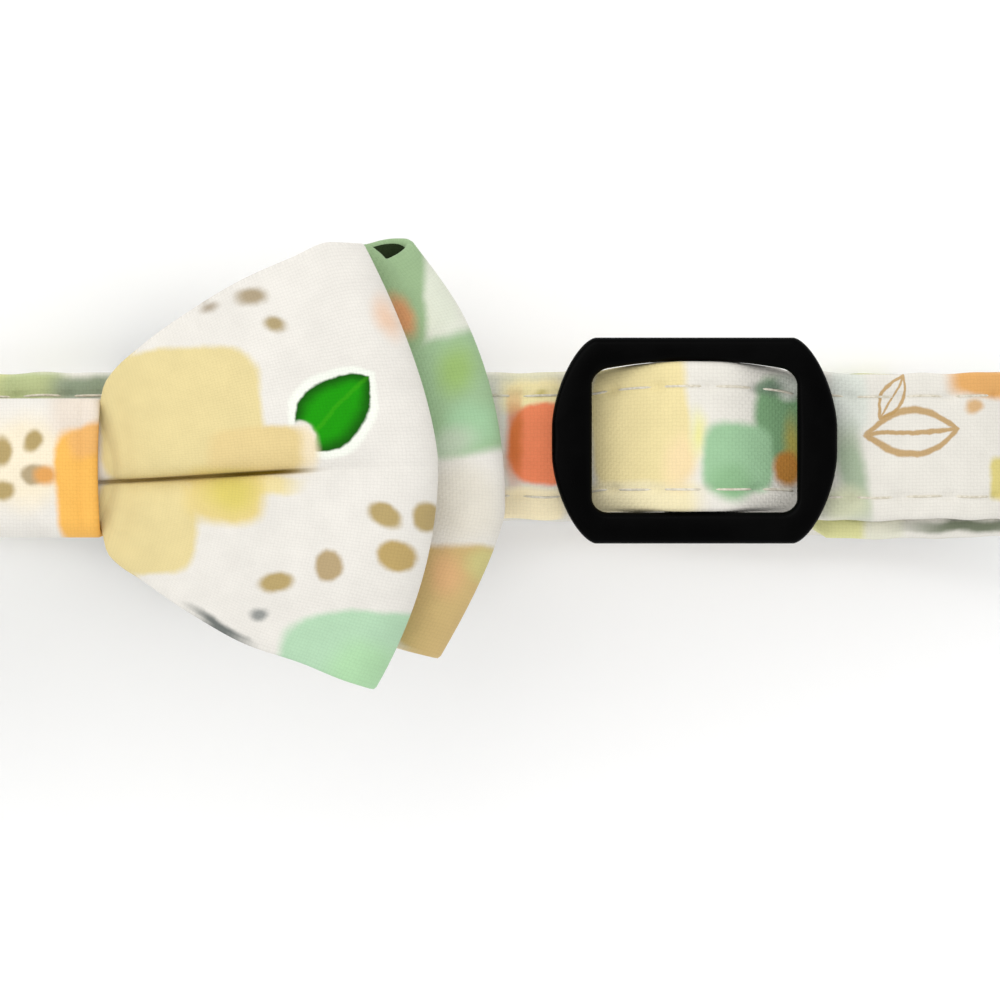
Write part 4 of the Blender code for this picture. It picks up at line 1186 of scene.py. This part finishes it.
def build_layer(layer, surface, lining):
    """A closed band of cloth pinched in the middle, with a hollow wing on each side."""
    turn = np.pi / 2 * np.linspace(0.0, 1.0, FOLD_STATIONS)[1:-1]
    fold = FOLD_START + (1.0 - FOLD_START) * np.sin(turn)
    pinch = np.linspace(0.0, PINCH_END, PINCH_STATIONS)
    out = np.concatenate([pinch, np.linspace(WING_START, FOLD_START, WING_STATIONS), fold])
    inner = out[1:]
    stations = [(1, a, 1) for a in out] + [(1, 1.0, 1)] + [(1, a, -1) for a in out[::-1]]
    stations += [(-1, a, -1) for a in inner] + [(-1, 1.0, 1)] + [(-1, a, 1) for a in inner[::-1]]
    side, along, sheet = (np.array(column, float)[:, None] for column in zip(*stations))
    place = np.linspace(-1.0, 1.0, WING_PLACES)[None, :]
    shape = (len(stations), WING_PLACES)
    along, sheet, side = (np.broadcast_to(values, shape) for values in (along, sheet, side))
    place = np.broadcast_to(place, along.shape)
    x, y, z, across, dent = wing_point(layer, side, along, place, sheet)
    middle = np.stack([BOW_X + side * x, y, z], axis=2)
    prints = np.stack([x, np.where(side > 0, y, -y)], axis=2)
    weave_across = across * (layer.outline.top + layer.outline.bottom) / 2
    return cloth_band(layer.name, middle, CLOTH, surface, prints, weave_across, dent, lining)


def corner_arc(a, b, radius, start, steps):
    """Points along a quarter circle round (a, b), from so many degrees on."""
    angles = [math.radians(start + 90.0 * step / steps) for step in range(steps + 1)]
    return [(a + radius * math.cos(angle), b + radius * math.sin(angle)) for angle in angles]


def rounded_ring(low, high, radii, steps, spacing):
    """Evenly spaced points round a rectangle from its low to its high corner, anticlockwise.

    radii are those of its low corners and of its high ones.
    """
    below, above = radii
    points = []
    for a, b, radius, start in (
        (low[0] + below, low[1] + below, below, 180.0),
        (high[0] - below, low[1] + below, below, 270.0),
        (high[0] - above, high[1] - above, above, 0.0),
        (low[0] + above, high[1] - above, above, 90.0),
    ):
        points += corner_arc(a, b, radius, start, steps)
    ring = np.array(points + points[:1])
    length = arc(ring)
    at = np.linspace(0.0, length[-1], int(length[-1] / spacing) + 1)[:-1]
    return np.stack([np.interp(at, length, ring[:, k]) for k in range(2)], axis=1)


def across_band(ring, places):
    """Shares of a band's length, from -0.5 to 0.5, at each point of its ring."""
    return np.broadcast_to(np.linspace(-0.5, 0.5, places)[None, :], (len(ring), places))


WRAP_CORNER_STEPS = 10
WRAP_SPACING = 0.00028
WRAP_PLACES = 41
WRAP_DRAWN_IN = 0.00030
WRAP_WAIST = 0.00022
WRAP_FRONT_EASE = 0.003
WRAP_CROWN = 0.00030
WRAP_PULL = 0.000072
WRAP_PULL_TURNS = (3.1, 0.9)
SEAM_DEPTH = 0.00016
SEAM_WIDTH = 0.00035
SEAM_INSET = 0.0013


def build_wrap(surface):
    """The cloth band round the pinched middle of both layers."""
    half = WRAP_HEIGHT / 2 - WRAP_WALL / 2
    low_z = STRAP_FACE_Z + CLEARANCE + WRAP_WALL / 2
    lobe_top = LOBE_RISE * float(row_value("lobe", 0.0))
    high_z = BOW_REAR_Z + 3 * SHEET_STEP + lobe_top + CLOTH / 2 + CLEARANCE + WRAP_WALL / 2
    low, high = (WRAP_CENTRE_Y - half, low_z), (WRAP_CENTRE_Y + half, high_z)
    radii = (WRAP_REAR_RADIUS + WRAP_WALL / 2, WRAP_FRONT_RADIUS + WRAP_WALL / 2)
    ring = rounded_ring(low, high, radii, WRAP_CORNER_STEPS, WRAP_SPACING)
    shares = across_band(ring, WRAP_PLACES)
    y = np.broadcast_to(ring[:, :1], shares.shape)
    z = np.broadcast_to(ring[:, 1:], shares.shape)
    front = smooth((z - (low_z + high_z) / 2) / WRAP_FRONT_EASE)
    level = (y - WRAP_CENTRE_Y) / half
    turns = WRAP_PULL_TURNS[0] * shares + WRAP_PULL_TURNS[1] * level
    pull = WRAP_PULL * np.sin(2 * np.pi * turns)
    raised = (1.0 - level**2) * (WRAP_CROWN * (1.0 - (2 * shares) ** 2) + pull)
    off_seam = np.abs(shares) * WRAP_LENGTH - (WRAP_LENGTH / 2 - SEAM_INSET)
    z = z + front * (raised - SEAM_DEPTH * bell(off_seam, SEAM_WIDTH))
    drawn_in = front * (WRAP_DRAWN_IN + WRAP_WAIST * np.cos(np.pi * level / 2))
    x = BOW_X + shares * (WRAP_LENGTH - 2 * drawn_in)
    middle = np.stack([x, y, z], axis=2)
    prints = np.stack([x - BOW_X, y], axis=2)
    return cloth_band("wrap_cloth", middle, WRAP_WALL, surface, prints, shares * WRAP_LENGTH)


KEEPER_CORNER_STEPS = 8
KEEPER_SPACING = 0.0003
KEEPER_PLACES = 49
KEEPER_RIBS = 8
KEEPER_RIB_HEIGHT = 0.00006


def build_keeper(name, side, surface):
    """An elastic loop round the strap, behind a wing."""
    half_width = STRAP_WIDTH / 2 + CLEARANCE + KEEPER_THICK / 2
    half_thick = STRAP_THICK / 2 + CLEARANCE + KEEPER_THICK / 2
    radius = KEEPER_RADIUS + KEEPER_THICK / 2
    low, high = (-half_width, TOP_Z - half_thick), (half_width, TOP_Z + half_thick)
    ring = rounded_ring(low, high, (radius, radius), KEEPER_CORNER_STEPS, KEEPER_SPACING)
    shares = across_band(ring, KEEPER_PLACES)
    outward = ring - np.array([[0.0, TOP_Z]])
    outward[:, 0] *= half_thick / half_width
    outward = unit(outward)
    rib = KEEPER_RIB_HEIGHT * np.cos(2 * np.pi * shares * KEEPER_RIBS)
    y = ring[:, :1] + outward[:, :1] * rib
    z = ring[:, 1:] + outward[:, 1:] * rib
    x = BOW_X + side * KEEPER_X + shares * KEEPER_LENGTH
    middle = np.stack([x, y, z], axis=2)
    prints = np.stack([x, y], axis=2)
    thick = KEEPER_THICK - 2 * KEEPER_RIB_HEIGHT
    return cloth_band(name, middle, thick, surface, prints, shares * KEEPER_LENGTH)


# ---------------------------------------------------------------- slider and buckle

SLIDER_CORNER_PLACES = 26
SLIDER_SIDE_PLACES = 8
SLIDER_EDGE_PLACES = 6
SLIDER_BAR_ROUNDING = 0.00056
SLIDER_BAR_STEPS = 6
SLIDER_BAR_SPACING = 0.0001
SLIDER_BAR_PLACES = 12


def slider_rings():
    """Matching points round the slider's outer outline and its window, from its middle."""
    half_length, half_width = SLIDER_LENGTH / 2, SLIDER_WIDTH / 2
    window_x, window_y = SLIDER_WINDOW_LENGTH / 2, SLOT_WIDTH / 2
    straight_x, straight_y = half_length - SLIDER_END_BULGE, SLIDER_END_FLAT / 2
    radius, power = SLIDER_WINDOW_RADIUS, SLIDER_CORNER_POWER
    pairs = []
    rise = (window_y - radius) / straight_y
    for y in np.linspace(0.0, straight_y, SLIDER_SIDE_PLACES)[:-1]:
        pairs.append((half_length, y, window_x, y * rise))
    for angle in np.linspace(0.0, np.pi / 2, SLIDER_CORNER_PLACES):
        across, up = math.cos(angle), math.sin(angle)
        outer_x = straight_x + SLIDER_END_BULGE * across ** (2 / power)
        outer_y = straight_y + (half_width - straight_y) * up ** (2 / power)
        inner_x, inner_y = window_x - radius + radius * across, window_y - radius + radius * up
        pairs.append((outer_x, outer_y, inner_x, inner_y))
    for x in np.linspace(straight_x, 0.0, SLIDER_CORNER_PLACES)[1:]:
        pairs.append((x, half_width, min(x, window_x - radius), window_y))
    quarter = np.array(pairs)
    flipped = quarter[::-1] * np.array([-1, 1, -1, 1])
    half = np.concatenate([quarter, flipped[1:]])
    whole = np.concatenate([half, -half[1:-1]])
    return whole[:, :2], whole[:, 2:]


def build_slider(surface):
    """A moulded frame with softened edges and a recessed middle bar."""
    outer, inner = slider_rings()
    arch = WINDOW_TOP - WINDOW_ARCH * (inner[:, 0] / (SLIDER_WINDOW_LENGTH / 2)) ** 2
    limit = np.where(inner[:, 1] > 0, arch, WINDOW_BOTTOM)
    shaped = np.stack([inner[:, 0], inner[:, 1] * limit / (SLOT_WIDTH / 2)], axis=1)

    cheek_drop = SLIDER_BOTTOM_Z - (SLIDER_BAR_Z - SLIDER_BAR_THICK / 2)
    deep = 1.0 - smooth((np.abs(outer[:, 0]) - SLIDER_CHEEK_FLAT) / SLIDER_CHEEK_SLOPE)
    low, high = SLIDER_BOTTOM_Z - cheek_drop * deep, np.full(len(outer), SLIDER_TOP_Z)
    turns = np.linspace(0.0, np.pi / 2, SLIDER_EDGE_PLACES)
    columns = []
    for start, end, top, order in (
        (outer, shaped, True, turns),
        (shaped, outer, True, turns[::-1]),
        (inner, outer, False, turns),
        (outer, inner, False, turns[::-1]),
    ):
        for turn in order:
            inset, drop = SLIDER_EDGE * (1 - math.cos(turn)), SLIDER_EDGE * (1 - math.sin(turn))
            at = start + unit(end - start) * inset
            height = high - drop if top else low + drop
            columns.append(np.stack([SLIDER_X + at[:, 0], SLIDER_Y + at[:, 1], height], axis=1))
    ring = grid_object("slider_frame", np.stack(columns, axis=1), True, surface)

    half_bar, half_thick = SLIDER_BAR_WIDTH / 2, SLIDER_BAR_THICK / 2
    low = (SLIDER_X - half_bar, SLIDER_BAR_Z - half_thick)
    high = (SLIDER_X + half_bar, SLIDER_BAR_Z + half_thick)
    radii = (SLIDER_BAR_ROUNDING, SLIDER_BAR_ROUNDING)
    profile = rounded_ring(low, high, radii, SLIDER_BAR_STEPS, SLIDER_BAR_SPACING)
    bar_end = SLOT_WIDTH / 2 + SLIDER_RAIL / 2
    points = np.empty((SLIDER_BAR_PLACES, len(profile), 3))
    points[:, :, 0], points[:, :, 2] = profile[:, 0], profile[:, 1]
    points[:, :, 1] = SLIDER_Y + np.linspace(-bar_end, bar_end, SLIDER_BAR_PLACES)[:, None]
    bar = grid_object("slider_bar", points, False, surface)
    whole = joined("slider_plastic", [ring, bar])
    face_outwards(whole)
    return whole


def prism(name, outline, start, end, axes, surface=None):
    """A closed prism of the outline. axes are the ones that its points and its depth run along."""
    points = np.empty((2 * len(outline), 3))
    points[:, axes[:2]] = outline + outline
    points[:, axes[2]] = [start] * len(outline) + [end] * len(outline)
    count = len(outline)
    faces = [(k, (k + 1) % count, count + (k + 1) % count, count + k) for k in range(count)]
    faces += [tuple(reversed(range(count))), tuple(range(count, 2 * count))]
    mesh = bpy.data.meshes.new(name)
    mesh.from_pydata(points.tolist(), [], faces)
    made = added(mesh, surface)
    face_outwards(made)
    return made


BUCKLE_CORNER_STEPS = 10
BUCKLE_WAIST_PLACES = 33
BUCKLE_BAR_TURN_PLACES = 13
BUCKLE_BEVEL_STEPS = 4
BUCKLE_BEVEL_ANGLE = 60
BUCKLE_SHARP_ANGLE = 32


def buckle_outline():
    """The buckle's outline from above, anticlockwise, with its waisted long sides."""
    across, up = BUCKLE_LENGTH / 2 - BUCKLE_CORNER, BUCKLE_WIDTH / 2 - BUCKLE_CORNER
    points = []
    for side in (-1, 1):
        start = 90.0 - side * 90.0
        points += corner_arc(side * across, side * up, BUCKLE_CORNER, start, BUCKLE_CORNER_STEPS)
        for share in np.linspace(-0.5, 0.5, BUCKLE_WAIST_PLACES):
            depth = BUCKLE_WAIST * (1 + math.cos(2 * math.pi * share)) / 2
            x = -side * share * BUCKLE_WAIST_LENGTH
            points.append((x, side * (BUCKLE_WIDTH / 2 - depth)))
        start += 90.0
        points += corner_arc(-side * across, side * up, BUCKLE_CORNER, start, BUCKLE_CORNER_STEPS)
    return points


def build_buckle(surface):
    """One plain clasp, with a recessed bar at each end that the strap turns round."""
    half_length = BUCKLE_LENGTH / 2
    body = prism("buckle_plastic", buckle_outline(), 0.0, BUCKLE_THICK, (0, 1, 2), surface)
    bevel = body.modifiers.new("softened edges", "BEVEL")
    bevel.width = BUCKLE_EDGE
    bevel.segments = BUCKLE_BEVEL_STEPS
    bevel.limit_method = "ANGLE"
    bevel.angle_limit = math.radians(BUCKLE_BEVEL_ANGLE)
    bar_inner = half_length - BUCKLE_BAR_WIDTH
    slot_inner = bar_inner - BUCKLE_SLOT
    past, below, above = half_length + BUCKLE_SLOT, -BUCKLE_SLOT, BUCKLE_THICK + BUCKLE_SLOT
    bar_low, bar_high = BUCKLE_BAR_Z - BUCKLE_BAR_THICK / 2, BUCKLE_BAR_Z + BUCKLE_BAR_THICK / 2
    turned = []
    for turn in np.linspace(0.0, np.pi, BUCKLE_BAR_TURN_PLACES):
        lift = bar_low + BUCKLE_EDGE if turn < np.pi / 2 else bar_high - BUCKLE_EDGE
        out = bar_inner + BUCKLE_EDGE * (1 - math.sin(turn))
        turned.append((out, lift - BUCKLE_EDGE * math.cos(turn)))
    profile = [(slot_inner, below), (past, below), (past, bar_low)] + turned
    profile += [(past, bar_high), (past, above), (slot_inner, above)]
    tools = []
    for sign in (-1, 1):
        cut = [(sign * x, z) for x, z in profile]
        tool = prism("slot_tool", cut, -SLOT_WIDTH / 2, SLOT_WIDTH / 2, (0, 2, 1))
        boolean = body.modifiers.new("slot", "BOOLEAN")
        boolean.operation = "DIFFERENCE"
        boolean.solver = "EXACT"
        boolean.object = tool
        tools.append(tool)
    graph = bpy.context.evaluated_depsgraph_get()
    mesh = bpy.data.meshes.new_from_object(body.evaluated_get(graph))
    body.modifiers.clear()
    body.data = mesh
    for tool in tools:
        bpy.data.objects.remove(tool)
    mesh.shade_smooth()
    mesh.set_sharp_from_angle(angle=math.radians(BUCKLE_SHARP_ANGLE))
    return body


# ---------------------------------------------------------------- studio

FLOOR_REACH = 3.0
FLOOR_DROP = 0.0002
CAMERA_DISTANCE = 2.4
CAMERA_FIELD = 0.10204
CAMERA_X = 0.02237
CAMERA_Y = -0.00546
SENSOR_MM = 36.0


def build_floor():
    """A plain pale floor just under the collar."""
    surface = Surface("floor")
    soft = surface.noise(surface.place(), 3.0, 2.0).outputs[0]
    colour = surface.mix(soft, srgb((250, 250, 250)), srgb((253, 253, 253)))
    surface.set(Base_Color=colour, Roughness=0.9, Specular_IOR_Level=0.1)
    mesh = bpy.data.meshes.new("floor")
    signs = ((-1, -1), (1, -1), (1, 1), (-1, 1))
    corners = [(x * FLOOR_REACH, y * FLOOR_REACH, -FLOOR_DROP) for x, y in signs]
    mesh.from_pydata(corners, [], [(0, 1, 2, 3)])
    floor = added(mesh, surface.material)


def area_light(name, place, target, size, watts, colour):
    """A round soft light that faces its target."""
    data = bpy.data.lights.new(name, "AREA")
    data.shape = "DISK"
    data.size = size
    data.energy = watts
    data.color = colour
    made = bpy.data.objects.new(name, data)
    made.location = place
    made.rotation_euler = (Vector(target) - Vector(place)).to_track_quat("-Z", "Y").to_euler()
    bpy.context.collection.objects.link(made)


def build_world():
    """Even white light from all round, with a darker ceiling patch that black gloss mirrors."""
    world = bpy.data.worlds.new("studio")
    bpy.context.scene.world = world
    world.use_nodes = True
    tree = world.node_tree
    back = tree.nodes["Background"]
    where = tree.nodes.new("ShaderNodeTexCoord")
    parts = tree.nodes.new("ShaderNodeSeparateXYZ")
    dim = tree.nodes.new("ShaderNodeMapRange")
    dim.interpolation_type = "SMOOTHSTEP"
    patch = {"From Min": 0.94, "From Max": 0.985, "To Min": 1.05, "To Max": 0.60}
    for key, value in patch.items():
        dim.inputs[key].default_value = value
    tree.links.new(where.outputs["Generated"], parts.inputs[0])
    tree.links.new(parts.outputs[2], dim.inputs[0])
    tree.links.new(dim.outputs[0], back.inputs["Strength"])
    back.inputs["Color"].default_value = (0.985, 0.99, 1.0, 1.0)


def build_camera():
    """Straight above the bow and the slider, as in the photograph."""
    data = bpy.data.cameras.new("camera")
    data.sensor_width = SENSOR_MM
    data.lens = SENSOR_MM * CAMERA_DISTANCE / CAMERA_FIELD
    data.clip_end = 20.0
    camera = bpy.data.objects.new("camera", data)
    camera.location = (CAMERA_X, CAMERA_Y, STRAP_FACE_Z + CAMERA_DISTANCE)
    bpy.context.collection.objects.link(camera)
    bpy.context.scene.camera = camera
    bpy.context.scene.view_settings.view_transform = "Standard"


def main():
    build_camera()
    build_world()
    build_floor()
    area_light("key", (-0.45, 0.45, 1.05), (0.0, 0.0, 0.04), 1.2, 5.4, (1.0, 0.99, 0.97))

    plastic = plastic_material()
    elastic = elastic_material()
    strap = build_strap(strap_material())
    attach(strap, "root")
    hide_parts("strap")
    stitches = build_stitches(thread_material())
    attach(stitches, "root")

    lining = lining_material()
    back = build_layer(BACK, bow_back_material(), lining)
    front = build_layer(FRONT, bow_front_material(), lining)
    wrap = build_wrap(wrap_material())
    for piece, node, slot in (
        (back, "bow_back", "printed_cotton"),
        (front, "bow_front", "printed_cotton"),
        (wrap, "centre_wrap", "wrap_cotton"),
        (build_keeper("keeper_left_elastic", -1, elastic), "keeper_left", "elastic"),
        (build_keeper("keeper_right_elastic", 1, elastic), "keeper_right", "elastic"),
        (build_slider(plastic), "slider", "black_plastic"),
        (build_buckle(plastic), "buckle", "black_plastic"),
    ):
        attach(piece, "root")
        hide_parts(node)


main()
